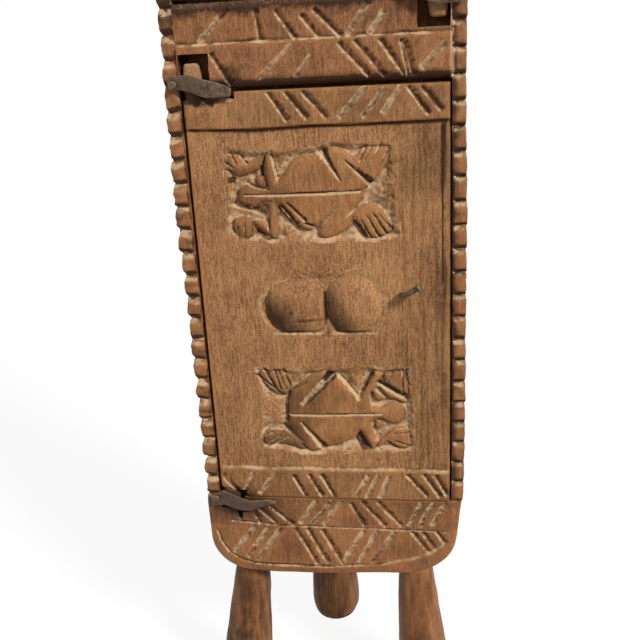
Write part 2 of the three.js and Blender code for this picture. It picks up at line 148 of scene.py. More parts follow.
def maths(tree, operation, first, second):
    return add(tree, "ShaderNodeMath", {0: first, 1: second}, operation=operation).outputs[0]


def blend(tree, factor, first, second):
    """The first colour where the factor is 0, and the second where it is 1."""
    return add(tree, "ShaderNodeMix", {
        "Factor": factor, 6: first, 7: second,
    }, data_type="RGBA").outputs[2]


WHITE = (1, 1, 1, 1)
AMBIENT = 0.3
FLOOR_SEEN = (0.95, 0.95, 0.95, 1)
FLOOR_BOUNCE = (0.32, 0.3, 0.28, 1)
SHADOW_SHARE = 0.1
FLOOR_HALF = 8


def shown_direct(tree):
    """1 for what is seen directly, in a reflection or through glass, and 0 for the light."""
    path = add(tree, "ShaderNodeLightPath").outputs
    seen = maths(tree, "MAXIMUM", path["Is Camera Ray"], path["Is Glossy Ray"])
    return maths(tree, "MAXIMUM", seen, path["Is Transmission Ray"])


world = bpy.data.worlds.new("studio")
world.use_nodes = True
world_tree = world.node_tree
world_tree.nodes.clear()
ambient = add(world_tree, "ShaderNodeBackground", {"Color": WHITE, "Strength": AMBIENT})
backdrop = add(world_tree, "ShaderNodeBackground", {"Color": WHITE, "Strength": 1.0})
mixed = add(world_tree, "ShaderNodeMixShader", {
    0: shown_direct(world_tree), 1: ambient.outputs[0], 2: backdrop.outputs[0],
})
add(world_tree, "ShaderNodeOutputWorld", {"Surface": mixed.outputs[0]})
bpy.context.scene.world = world

floor_paint = bpy.data.materials.new("pale_floor")
floor_paint.use_nodes = True
floor_tree = floor_paint.node_tree
floor_tree.nodes.clear()
direct = shown_direct(floor_tree)
painted = add(floor_tree, "ShaderNodeBsdfDiffuse", {
    "Color": blend(floor_tree, direct, FLOOR_BOUNCE, FLOOR_SEEN),
})
glow = add(floor_tree, "ShaderNodeEmission", {"Color": WHITE, "Strength": 1.0})
floor_mix = add(floor_tree, "ShaderNodeMixShader", {
    0: maths(floor_tree, "MULTIPLY", direct, 1 - SHADOW_SHARE),
    1: painted.outputs[0], 2: glow.outputs[0],
})
add(floor_tree, "ShaderNodeOutputMaterial", {"Surface": floor_mix.outputs[0]})
floor_mesh = bpy.data.meshes.new("floor")
floor_mesh.from_pydata([
    (-FLOOR_HALF, -FLOOR_HALF, 0), (FLOOR_HALF, -FLOOR_HALF, 0),
    (FLOOR_HALF, FLOOR_HALF, 0), (-FLOOR_HALF, FLOOR_HALF, 0),
], [], [(0, 1, 2, 3)])
floor_mesh.materials.append(floor_paint)
floor = stood("floor", floor_mesh)


# Body: one log, hewn D-shaped with its roundness left at the back, and hollowed from the front.
# The front is carved: an end block at each end, a crosspiece between the doors and a row of beads
# down each side. Two front legs and one rear leg are cut from the same log.
HALF_WIDTH = 105.0
SIDE_SWELL = 1.5
END_RADIUS = 31.5
BACK_END_RADIUS = 30.0
BODY_DEPTH = 149.4
FLAT_SIDE_DEPTH = 70.0
OPENING_HALF = 94.8
END_BLOCK = 70.2
OPENING_TOP = 395.0
CROSS_HEIGHT = 56.6
SLAB_BACK = 12.5
CORE_FRONT = 6.5
CARVING_STEP = 0.9
EDGE_ROUND = 3.2
GOUGE_SLOPE = 0.32
WORN_RADIUS = 40.0
WORN_SLANT = 3.4
FOOT_FLARE = 2.1
FOOT_TAPER = 1.6
BULGE_BELOW, BULGE_ABOVE = 3.4, 1.7
SLAB_SIDE = 8.5
SLAB_ARRIS = 1.6
LOG_ARRIS = 2.5
LOG_INSET = 0.9
LOG_COLUMNS = 54
LOWER_BLOCK_SEED, UPPER_BLOCK_SEED, CROSSPIECE_SEED, LOG_SEED = 10, 40, 70, 100
UNDERSIDE_RISE = 3.4
UNDERSIDE_SAG = 1.9
UNDERSIDE_REACH = 30
EARTH_FILL = 0.32


def waver(u, v, size, seed):
    """Smooth random waves about size across, between -1 and 1."""
    lattice = np.random.default_rng(seed).uniform(-1, 1, (61, 61))
    a = np.asarray(u, float) / size
    b = np.asarray(v, float) / size
    i = np.floor(a).astype(int)
    j = np.floor(b).astype(int)
    s = a - i
    t = b - j
    s = s * s * (3 - 2 * s)
    t = t * t * (3 - 2 * t)
    low = lattice[i % 61, j % 61] * (1 - s) + lattice[(i + 1) % 61, j % 61] * s
    high = lattice[i % 61, (j + 1) % 61] * (1 - s) + lattice[(i + 1) % 61, (j + 1) % 61] * s
    return low * (1 - t) + high * t


def ease(value):
    """0 below 0, 1 above 1 and smooth between them."""
    t = np.clip(value, 0, 1)
    return t * t * (3 - 2 * t)


def drift(u, size, seed):
    """The same waves along one direction only."""
    return waver(u, u * 0, size, seed)


def ridge(distance, width):
    """1 at no distance, and falling away smoothly on both sides."""
    return np.exp(-(distance / width) ** 2)


def spot(u, wide, v, high):
    """1 in the middle of a soft oval spot, and falling away smoothly all round."""
    return np.exp(-(u / wide) ** 2 - (v / high) ** 2)


def gouged(x, z, strokes, width, seed, upper=0.68, taper=3.0, shade=0.27):
    """Depth of V-shaped gouge cuts, the pale earth in them with a highlight painted along their lit
    rim, and the shade painted on their dark slopes.

    A stroke is its two ends, then its widths there if they differ from the usual one, then the
    share of the width on its upper side, the earth in it and its shade, if they differ too.
    """
    cut = np.zeros(x.shape)
    earth_and_highlight = np.zeros(x.shape)
    dark = np.zeros(x.shape)
    ragged = 0.2 * waver(x, z, 2.1, seed) + 0.15 * waver(x, z, 5.3, seed + 1)
    patchy = 0.7 + 0.5 * waver(x, z, 2.2, seed + 90) + 0.35 * waver(x, z, 9, seed + 91)
    blotchy = 0.85 + 0.55 * waver(x, z, 3.3, seed + 92)
    for x0, z0, x1, z1, *more in strokes:
        length = math.hypot(x1 - x0, z1 - z0)
        run = ((x1 - x0) / length, (z1 - z0) / length)
        leans_right = run[0] * run[1] > 0.05
        usual = width * (0.9 if leans_right else 1.0)
        start, end = more[:2] or (usual, usual)
        reach = max(start, end)
        near = (
            (x > min(x0, x1) - reach) & (x < max(x0, x1) + reach)
            & (z > min(z0, z1) - reach) & (z < max(z0, z1) + reach)
        )
        along = (x[near] - x0) * run[0] + (z[near] - z0) * run[1]
        across = (z[near] - z0) * run[0] - (x[near] - x0) * run[1]
        above, held, shadow = (*more[2:], None, None, None)[:3]
        above = upper if above is None else above
        held = (EARTH_FILL if leans_right else 0.06) if held is None else held
        shadow = (0.25 if leans_right else 1.0) * shade if shadow is None else shadow
        share = above if run[0] > 0 else 1 - above
        full = (start + (end - start) * np.clip(along / length, 0, 1)) * (1 + ragged[near])
        half = np.where(across > 0, share, 1 - share) * full
        profile = np.clip(1 - np.abs(across) / half, 0, 1) ** 0.85
        ends = np.clip(np.minimum(along, length - along) / taper + 0.35, 0, 1) ** 0.6
        cut[near] = np.maximum(cut[near], GOUGE_SLOPE * full * profile * ends)
        # The rim towards the light gets a painted highlight, and the slope away from it painted
        # shade.
        left = 1 if run[1] < 0.1 else -1
        lit = (1 - share if left > 0 else share) * full
        rim = ridge(across * left + 0.8 * lit, 0.62)
        hidden = np.clip(across * left / 0.8 + 0.4, 0, 1)
        inner = held * ease(profile / 0.2)
        settled = np.maximum(inner, 1.3 * held * (profile > 0.05))
        inner = np.where(across * left < 0.3, settled, inner)
        inner = inner * (1 - np.clip(shadow, 0, 1) * hidden)
        pale = np.maximum(rim * patchy[near], inner * (0.4 + patchy[near])) * (ends > 0.3)
        earth_and_highlight[near] = np.maximum(earth_and_highlight[near], pale)
        away_from_light = hidden * np.clip(3 * profile, 0, 1) * ends
        dark[near] = np.maximum(dark[near], shadow * away_from_light * blotchy[near])
    return cut, earth_and_highlight, dark


def side_at(z, side=-1):
    """Half the width of the straight front at a height, to one side of its middle.

    The lower left is wider under the middle and at the foot, the lower right in between, and the
    upper half is the lower one turned half a turn.
    """
    swell = np.cos(4 * np.pi * z / BOX_HEIGHT)

    def both(height, bulge):
        left = HALF_WIDTH - SIDE_SWELL * swell + FOOT_FLARE * ease((84 - height) / 22)
        left = left + bulge * ease((height - 240) / 70) * ease((428 - height) / 12)
        right = HALF_WIDTH - 0.1 - 0.9 * swell - FOOT_TAPER * ease((92 - height) / 30)
        return left, right + 1.2 * ridge(height - 315, 38)

    below = both(z, BULGE_BELOW)
    above = both(BOX_HEIGHT - z, BULGE_ABOVE)
    share = ease((z - BOX_HEIGHT / 2) / 80 + 0.5)
    hand = 0 if side < 0 else 1
    return below[hand] * (1 - share) + above[1 - hand] * share


def outline_at(z, side=-1):
    """Half the width of the front at a height, to one side of its middle.

    The ends are rounded, and two opposite corners are worn away further than the others.
    """
    from_end = np.minimum(z, BOX_HEIGHT - z)
    worn = (np.asarray(side) > 0) == (z < BOX_HEIGHT / 2)
    radius = np.where(worn, WORN_RADIUS, END_RADIUS)
    short = radius - np.minimum(from_end, radius)
    slant = np.where(worn, WORN_SLANT * np.clip((71 - from_end) / 36, 0, 1), 0)
    width = np.where(np.asarray(side) > 0, side_at(z, 1), side_at(z, -1))
    return width - radius + np.sqrt(np.maximum(radius**2 - short**2, 0)) - slant


# Each stroke of the carving is where a gouge went in and came out, x and z of each.
CROSS_UPPER = [
    (-55, 446, -77, 425), (-37, 445, -34, 424), (-23, 444, -10, 425), (-6, 440, 6, 425),
    (3, 443, 21, 425), (41, 445, 26, 425), (51, 439, 41, 425),
]
CROSS_LOWER = [
    (-70, 418, -57, 397), (-13, 421, -37, 400, 2.6, 4), (0, 414, -11, 400, 2.4, 4),
    (19, 421, 39, 399), (30, 422, 50, 398), (47, 422, 63, 399), (61, 421, 66, 398),
    (63, 420, 69, 398), (91, 417, 75, 401),
]
BLOCK_UPPER = [
    (-68, 59, -62, 45), (-63, 60, -48, 46), (-54, 63, -34, 45), (-13, 69, -28, 46),
    (0, 69, -18, 46), (7, 68, -9, 45), (14, 67, 25, 46), (23, 69, 42, 46), (36, 69, 55, 47),
    (72, 69, 62, 47), (82, 69, 70, 47), (91, 69, 80, 48),
]
BLOCK_LOWER = [
    (-66, 42, -87, 16), (-55, 41, -75, 12), (-44, 41, -67, 10), (-33, 42, -16, 9),
    (-23, 42, -7, 10), (-11, 41, 6, 9), (25, 41, 7, 10), (36, 41, 20, 10), (50, 41, 30, 10),
    (63, 42, 78, 21), (71, 43, 83, 24), (83, 43, 90, 31),
]
BLOCK_ROW = [
    (-88, 48.2, -66, 46), (-66, 46, -40, 44.4), (-40, 44.4, 20, 43.8), (20, 43.8, 92, 43),
]
BLOCK_BORDER = [
    (-99.8, 38, -97, 27), (-97, 27, -90.8, 16.8), (-90.8, 16.8, -82, 10.5), (-82, 10.5, -70, 7.4),
    (-70, 7.4, -3, 6.8), (-3, 6.8, 40, 9.4), (40, 9.4, 62, 14.4), (62, 14.4, 77.7, 20.1),
    (77.7, 20.1, 90.7, 31.1),
]


def carved_rows(x, z, groups, seed):
    """Depth, pale earth with painted highlights, and painted shade of several groups of strokes,
    each with its usual width.
    """
    rows = [
        gouged(x, z, strokes, width, seed + 2 * number, taper=taper)
        for number, (strokes, width, taper) in enumerate(groups)
    ]
    return [np.max(layer, axis=0) for layer in zip(*rows)]


def end_block_front(x, z, seed):
    """Depth of the carved face of an end block, its pale earth with painted highlights, and its
    mottled tone with painted shade.
    """
    cut, dust_and_highlight, dark = carved_rows(x, z, [
        (BLOCK_UPPER, 5.4, 1.2), (BLOCK_LOWER, 5.6, 1.2), (BLOCK_ROW, 2.2, 0.1),
        (BLOCK_BORDER, 3.0, 0.1),
    ], seed)
    edge = np.clip((9 - np.minimum(z, outline_at(z, np.sign(x)) - np.abs(x))) / 9, 0, 1)
    face = 0.25 * waver(x, z, 17, seed + 8) + 0.12 * waver(x, z, 4.5, seed + 9) + 1.6 * edge**2
    mottled = 0.08 + 0.22 * waver(x, z, 12, seed + 15) + 0.18 * ease((z - 42) / 4)
    return 0.4 + face + cut, dust_and_highlight, np.maximum(dark, mottled)


def crosspiece_front(x, z, seed):
    """Depth of the crosspiece's face, whose lower row stands a little proud, its pale earth, and
    its mottled tone with painted shade and shadow.
    """
    upper = ease((z - 423.6) / 1.4)
    cut, dust_and_highlight, dark = carved_rows(
        x, z, [(CROSS_UPPER, 5.6, 2.0), (CROSS_LOWER, 5.8, 2.0)], seed)
    line = OPENING_TOP + 0.5 * drift(x, 30, seed + 5)
    lip = np.clip((8 - (z - line)) / 8, 0, 1)
    head = np.clip((4 - (OPENING_TOP + CROSS_HEIGHT - z)) / 4, 0, 1)
    face = 0.35 * waver(x, z, 19, seed + 6) + 0.3 * np.abs(waver(x, z, 8, seed + 7))
    roll = 8 * (1 - np.sqrt(1 - lip**2)) + 3 * head**2
    # Pale earth along the step, partly a highlight painted on its upward edge.
    broken = 0.5 + 0.8 * drift(x, 5, seed + 8)
    from_step = z - 424.3 - 0.5 * drift(x, 21, seed + 9)
    dust_and_highlight = np.maximum(dust_and_highlight, broken * ease(1.1 - np.abs(from_step)))
    dust_and_highlight = np.maximum(dust_and_highlight, 0.8 * ease(1.4 - np.abs(x - 94.6)))
    # A painted shadow along the top, under the upper door, and painted shade under the lower lip.
    ragged = 1.6 * drift(x, 6, seed + 10) + 2.2 * drift(x, 19, seed + 11)
    fringe = ragged + 1.4 * waver(x, z, 1.9, seed + 14)
    painted_shade = np.clip((z - 441 - fringe) / 7, 0, 1) * ease((88 - x) / 25)
    low = np.clip((OPENING_TOP + 8 + 0.5 * fringe - z) / 5, 0, 1)
    mottled = 0.3 * waver(x, z, 13, seed + 15) + 0.16 * waver(x, z, 4, seed + 16)
    mottled = mottled + 0.15 * upper - 0.05
    dark = np.maximum(np.maximum(dark, mottled), np.maximum(1.25 * painted_shade, 0.8 * low))
    above = ridge(z - 426.4 - 0.7 * drift(x, 12, seed + 12), 0.9)
    dark = np.maximum(dark, 0.7 * above * np.clip(drift(x, 13, seed + 13) + 0.4, 0, 1))
    return 0.4 + face + cut + 1.3 * upper + roll, dust_and_highlight * (1 - painted_shade), dark


def lifted(x, z):
    """How far the underside of the lower block rises towards its right-hand end."""
    return UNDERSIDE_RISE * ease((x + 25) / 85) * np.clip(1 - z / UNDERSIDE_REACH, 0, 1)


def sagging(x, z):
    """How far the middle of that underside hangs down."""
    hanging = ease((88 - np.abs(x + 2)) / 36)
    return UNDERSIDE_SAG * hanging * np.clip(1 - z / UNDERSIDE_REACH, 0, 1)


def thing_of(name, points, faces, caps):
    """A mesh object from places on the box in millimetres, its quads and its end faces."""
    loops = np.concatenate([np.asarray(faces).ravel(), *[np.asarray(cap) for cap in caps]])
    sizes = np.array([4] * len(faces) + [len(cap) for cap in caps])
    starts = np.concatenate([[0], np.cumsum(sizes)[:-1]])
    mesh = bpy.data.meshes.new(name)
    mesh.vertices.add(len(points))
    mesh.vertices.foreach_set("co", in_frame(points).astype(np.float32).ravel())
    mesh.loops.add(len(loops))
    mesh.loops.foreach_set("vertex_index", loops.astype(np.int32))
    mesh.polygons.add(len(sizes))
    mesh.polygons.foreach_set("loop_start", starts.astype(np.int32))
    mesh.update(calc_edges=True)
    return stood(name, mesh)


def loft(name, rings):
    """A closed solid through rings of points. The rings run anticlockwise seen from the last."""
    rings = np.asarray(rings, float)
    rows, columns = rings.shape[:2]
    index = np.arange(rows * columns).reshape(rows, columns)
    beside = np.roll(index, -1, axis=1)
    quads = np.stack([index[:-1], beside[:-1], beside[1:], index[1:]], axis=-1).reshape(-1, 4)
    return thing_of(name, rings.reshape(-1, 3), quads, [index[0, ::-1], index[-1]])


def at_height(ring, z):
    """A ring of places in plan, set at a height."""
    return np.column_stack([ring, np.full(len(ring), z)])


def full_turn(count):
    """Evenly spaced angles right round."""
    return np.linspace(0, 2 * np.pi, count + 1)[:-1]


def combined(thing, operation, tools):
    """The thing joined with other solids, or with them cut away. The others are used up."""
    for tool in tools:
        change = thing.modifiers.new(operation, "BOOLEAN")
        change.solver = "MANIFOLD"
        change.operation = operation
        change.object = tool
    bpy.context.view_layer.update()
    worked = thing.evaluated_get(bpy.context.evaluated_depsgraph_get())
    mesh = bpy.data.meshes.new_from_object(worked)
    thing.modifiers.clear()
    thing.data = mesh
    for tool in tools:
        bpy.data.objects.remove(tool)
    return thing


def carved_slab(name, heights, half_at, front, seed, turned=False):
    """A slab as high as the carving, whose front is carved. It is later joined to the log."""
    steps = int(round(2 * OPENING_HALF / CARVING_STEP))
    bend = np.linspace(0, np.pi / 2, 6)[1:]
    round_off = np.concatenate([np.zeros(steps + 1), EDGE_ROUND * (1 - np.cos(bend))])
    round_off = np.concatenate([round_off[:steps:-1], round_off])
    rings = []
    for z in heights:
        left_half, right_half = float(half_at(z, -1)), float(half_at(z, 1))
        flat = left_half - EDGE_ROUND
        x = np.linspace(-flat, flat, steps + 1)
        x = np.concatenate([x, flat + EDGE_ROUND * np.sin(bend)])
        x = np.concatenate([-x[:steps:-1], x])
        x = np.where(x > 0, x * right_half / left_half, x)
        y = np.maximum(front(x, np.full(x.shape, z), seed)[0], round_off)
        ring = np.concatenate([np.stack([x, y], 1), [
            [right_half, SLAB_SIDE], [right_half - SLAB_ARRIS, SLAB_BACK],
            [SLAB_ARRIS - left_half, SLAB_BACK], [-left_half, SLAB_SIDE],
        ]])
        hang = lifted(ring[:, 0], z) - (0 if turned else sagging(ring[:, 0], z))
        rings.append(np.column_stack([ring, z + hang]))
    rings = np.array(rings)
    if turned:
        rings = rings * (-1, 1, -1) + (0, 0, BOX_HEIGHT)
    return loft(name, rings)


block_rows = np.concatenate([
    [0, 0.12, 0.4, 0.85, 1.4, 2.1], np.arange(3, END_BLOCK, CARVING_STEP), [END_BLOCK],
])
cross_rows = np.linspace(OPENING_TOP, OPENING_TOP + CROSS_HEIGHT, 64)
lower_block = carved_slab("lower_block", block_rows, outline_at, end_block_front,
                          LOWER_BLOCK_SEED)
upper_block = carved_slab("upper_block", block_rows, outline_at, end_block_front,
                          UPPER_BLOCK_SEED, turned=True)
crosspiece = carved_slab("crosspiece", cross_rows, lambda z, side: OPENING_HALF + 0.4,
                         crosspiece_front, CROSSPIECE_SEED)


def log_ring(z, half, depth):
    """A D-shaped ring: flat front and sides, and an elliptical back."""
    flat_depth = min(FLAT_SIDE_DEPTH, depth - 30)
    sides = np.linspace(CORE_FRONT + LOG_ARRIS, flat_depth, LOG_COLUMNS // 6)
    arc = np.linspace(0, np.pi, LOG_COLUMNS)[1:-1]
    faces = np.linspace(LOG_ARRIS - half, half - LOG_ARRIS, LOG_COLUMNS // 3)
    ring = np.concatenate([
        np.stack([faces, np.full(faces.shape, CORE_FRONT)], 1),
        np.stack([np.full(sides.shape, half), sides], 1),
        np.stack([half * np.cos(arc), flat_depth + (depth - flat_depth) * np.sin(arc)], 1),
        np.stack([np.full(sides.shape, -half), sides[::-1]], 1),
    ])
    out = ring - (0, flat_depth)
    reach = np.linalg.norm(out, axis=1, keepdims=True)
    around = np.unwrap(np.arctan2(out[:, 1], out[:, 0])) * 90
    facets = np.abs(waver(around, z / 2.2, 13, LOG_SEED))
    facets = facets + 0.5 * waver(around, z, 40, LOG_SEED + 1)
    hewn = np.where(ring[:, 1] > CORE_FRONT + 4, 0.25 - 0.75 * facets - 0.1, 0)
    return at_height(ring + out / reach * hewn[:, None], z)


def log_core():
    """The hewn log before it is hollowed, a little narrower than the slabs on its front."""
    end_rows = BACK_END_RADIUS * (1 - np.cos(np.linspace(0, np.pi / 2, 10)))
    middle = np.linspace(BACK_END_RADIUS, BOX_HEIGHT - BACK_END_RADIUS, 170)[1:-1]
    heights = np.concatenate([end_rows, middle, (BOX_HEIGHT - end_rows)[::-1]])
    rings = []
    for z in heights:
        short = BACK_END_RADIUS - min(z, BOX_HEIGHT - z, BACK_END_RADIUS)
        depth = BODY_DEPTH - BACK_END_RADIUS + math.sqrt(BACK_END_RADIUS**2 - short**2)
        half = float(outline_at(z)) - LOG_INSET
        ring = log_ring(z, half, depth)
        worn = (float(outline_at(z, 1)) - LOG_INSET) / half
        ring[:, 0] = np.where(ring[:, 0] > 0, ring[:, 0] * worn, ring[:, 0])
        ring[:, 2] += lifted(ring[:, 0], z) - lifted(-ring[:, 0], BOX_HEIGHT - z)
        ring[:, 2] -= sagging(ring[:, 0], z)
        rings.append(ring)
    return loft("carved_log", rings)


# The door's pocket with its ledge, and the room behind it, are cut out with a chisel.
LEDGE_FRONT = 16.4
LEDGE = 6.0
WALL_BACK = 136.0
ROOM_ROUND = 9
ROOM_MIDDLE = 50


def box_solid(name, x0, x1, y0, y1, z0, z1, rough=0.0, seed=0):
    """A block with a slightly uneven surface, as a chisel leaves it."""
    steps = max(2, int((x1 - x0) / 4))
    deep = max(2, int((y1 - y0) / 4))
    across = np.linspace(x0, x1, steps)
    back = np.linspace(y0, y1, deep)
    ring = np.concatenate([
        np.stack([across[:-1], np.full(steps - 1, y0)], 1),
        np.stack([np.full(deep - 1, x1), back[:-1]], 1),
        np.stack([across[:0:-1], np.full(steps - 1, y1)], 1),
        np.stack([np.full(deep - 1, x0), back[:0:-1]], 1),
    ])
    rings = []
    for z in np.linspace(z0, z1, max(2, int((z1 - z0) / 4))):
        shift = rough * np.stack([
            waver(ring[:, 1] + 5 * ring[:, 0], z, 6, seed), waver(ring[:, 0], z, 6, seed + 1),
        ], 1)
        rings.append(at_height(ring + shift, z))
    return loft(name, rings)


def room_solid(z0, z1, seed):
    """The room behind a door, with a round back like the log's and the marks of the chisel."""
    half = OPENING_HALF - LEDGE
    rings = []
    for z in np.linspace(z0, z1, 60):
        near_end = min(z - z0, z1 - z, ROOM_ROUND)
        short = ROOM_ROUND - math.sqrt(ROOM_ROUND**2 - (ROOM_ROUND - near_end) ** 2)
        sides = np.linspace(LEDGE_FRONT - 3, FLAT_SIDE_DEPTH, 8)
        arc = np.linspace(0, np.pi, 40)[1:-1]
        depth = WALL_BACK - short - FLAT_SIDE_DEPTH
        ring = np.concatenate([
            np.stack([np.full(8, half), sides], 1),
            np.stack([half * np.cos(arc), FLAT_SIDE_DEPTH + depth * np.sin(arc)], 1),
            np.stack([np.full(8, -half), sides[::-1]], 1),
        ])
        around = np.unwrap(np.arctan2(ring[:, 1] - ROOM_MIDDLE, ring[:, 0])) * 80
        rough = 0.9 * waver(around, z / 2.5, 9, seed)
        out = ring - (0, ROOM_MIDDLE)
        out = out / np.linalg.norm(out, axis=1, keepdims=True)
        keep = ease((ring[:, 1] - LEDGE_FRONT) / 10)
        rings.append(at_height(ring + out * (rough * keep)[:, None], z))
    return loft("room", rings)


def half_turn():
    """Half a turn in the plane of the front, which takes the lower half to the upper one."""
    middle = Vector(in_frame((0, 0, BOX_HEIGHT / 2)))
    turn = Matrix.Translation(middle) @ Matrix.Rotation(math.pi, 4, "Y")
    return turn @ Matrix.Translation(-middle)


def turned_over(thing):
    """A copy of the same form for the upper half."""
    copy = stood(thing.name, thing.data.copy())
    copy.data.transform(half_turn())
    return copy


# The notches for the pegs, the chipped edge beside the lower one and the hole at the strap's nail
# have their two ends across, back and up, then how rough they are, and their seed.
NOTCHES = {
    "head_notch": (-93.6, -71.8, -6, 16.7, 388, 418.6, 0.5, 150),
    "foot_notch": (-93.6, -73.8, -6, 16.7, 59.4, 75, 0.4, 160),
    "chipped_edge": (-77.5, -71.2, -6, 9, 56.0, 68, 0.6, 165),
    "nail_hole": (-80.9, -76.5, -6, 9, 48.8, 60, 0.5, 167),
}
cutters = [
    box_solid("pocket", -OPENING_HALF, OPENING_HALF, -5, LEDGE_FRONT, END_BLOCK, OPENING_TOP),
    room_solid(END_BLOCK + LEDGE, OPENING_TOP - LEDGE, 130),
    *[box_solid(name, *sizes) for name, sizes in NOTCHES.items()],
]
cutters += [turned_over(cutter) for cutter in cutters]


# Rails: the strips of the log left standing on each side of the doors, from block to block. Their
# front corners are eased, and the beads are cut from them.
RAIL_FRONT = 2.9
RAIL_INSET = 2.6
RAIL_ROWS = 330


def rail(side):
    """A rail with a slightly wavering front and outer side."""
    rings = []
    for z in np.linspace(END_BLOCK - 9, BOX_HEIGHT - END_BLOCK + 9, RAIL_ROWS):
        x0 = OPENING_HALF - 0.3
        x1 = float(side_at(z, side)) - RAIL_INSET + 0.3 * float(waver(z, side * 9, 11, 171))
        y0 = RAIL_FRONT + 0.4 * float(waver(z, side * 5, 9, 172))
        ring = np.array([[x0, SLAB_BACK], [x0, y0 + 0.4], [x0 + 0.8, y0], [x1 - 2, y0],
                         [x1 - 0.6, y0 + 0.8], [x1, y0 + 2.5], [x1, SLAB_BACK]]) * (side, 1)
        rings.append(at_height(ring if side > 0 else ring[::-1], z))
    return loft("rail", rings)


# Legs: two in front and one behind, cut from the same log as the box. They taper from the foot up
# to the box and splay outwards, with long knife facets.
LEG_LENGTH = 140.0
LEG_ROOT = 26.0
LEG_RADIUS = 13.6
LEG_FLARE = 11
# Each leg: its place at the box, how far its foot leans, its foot's rounding, its girth and its
# seed.
LEGS = [
    ((-76.8, 24.5), (-16.6, 0), 10, 0, 180),
    ((64.8, 24.5), (9.4, 0), 10, 0, 190),
    ((-21.3, 128.0), (0, 9.0), 22, 1.1, 200),
]


def leg(top, lean, foot_round, girth, seed):
    """A leg from its foot, which is rounded over the given height, to its root in the box."""
    rings = []
    heights = np.concatenate([[-LEG_LENGTH, -LEG_LENGTH + 0.5], np.linspace(2, 10, 5) - LEG_LENGTH,
                              np.linspace(-LEG_LENGTH + 13, LEG_ROOT, 44)])
    angles = full_turn(44)
    for z in heights:
        down = -z / LEG_LENGTH
        radius = LEG_RADIUS + girth + LEG_FLARE * (max(down, 0) ** 0.82 + min(down, 0))
        foot = np.clip((z + LEG_LENGTH) / foot_round, 0, 1)
        radius -= (4.4 + 0.22 * foot_round) * (1 - math.sqrt(1 - (1 - foot) ** 2))
        facets = 1.2 * np.abs(waver(angles * 7 / (2 * np.pi) * 10, z / 6, 10, seed))
        uneven = 0.35 * waver(angles * 8, z, 12, seed + 1)
        r = radius - facets + uneven
        x = top[0] + lean[0] * down + r * np.cos(angles)
        y = top[1] + lean[1] * down + r * np.sin(angles) - 5 * girth * (1 - foot)
        rings.append(at_height(np.stack([x, y], 1), z))
    return loft("leg", rings)


# Beads: the rails are notched right round the front corner, which leaves a row of pillow beads.
# Each is left square by the knife, with its upper and lower edges pared off.
BEAD_START = 71.8
BEAD_COUNT = 41
bead_pitch = (BOX_HEIGHT - 2 * BEAD_START) / BEAD_COUNT


def take_inputs(tree, inputs):
    """Gives a tree its named inputs, each with its kind of socket and its usual value."""
    for label, (kind, value) in inputs.items():
        tree.interface.new_socket(label, in_out="INPUT", socket_type=kind).default_value = value


def growing_tree(name, start, sizes, result):
    """A Geometry Nodes tree with its inputs and its output named, and what it is given."""
    tree = bpy.data.node_groups.new(name, "GeometryNodeTree")
    tree.interface.new_socket(start, in_out="INPUT", socket_type="NodeSocketGeometry")
    take_inputs(tree, sizes)
    tree.interface.new_socket("Material", in_out="INPUT", socket_type="NodeSocketMaterial")
    tree.interface.new_socket(result, in_out="OUTPUT", socket_type="NodeSocketGeometry")
    return tree, add(tree, "NodeGroupInput").outputs


def finish_tree(tree, given, instances, noise_scale):
    """Makes the instances real, leaves them a little uneven and gives them their material."""
    real = add(tree, "GeometryNodeRealizeInstances", {"Geometry": instances})
    noise = add(tree, "ShaderNodeTexNoise", {"Scale": noise_scale, "Detail": 1.0})
    centred = add(tree, "ShaderNodeVectorMath", {
        0: noise.outputs["Color"], 1: (0.5, 0.5, 0.5),
    }, operation="SUBTRACT")
    uneven = add(tree, "ShaderNodeVectorMath", {
        0: centred.outputs[0], "Scale": given["Unevenness"],
    }, operation="SCALE")
    worn = add(tree, "GeometryNodeSetPosition", {
        "Geometry": real.outputs[0], "Offset": uneven.outputs[0],
    })
    finished = add(tree, "GeometryNodeSetMaterial", {
        "Geometry": worn.outputs[0], "Material": given["Material"],
    })
    add(tree, "NodeGroupOutput", {0: finished.outputs[0]})
    return tree


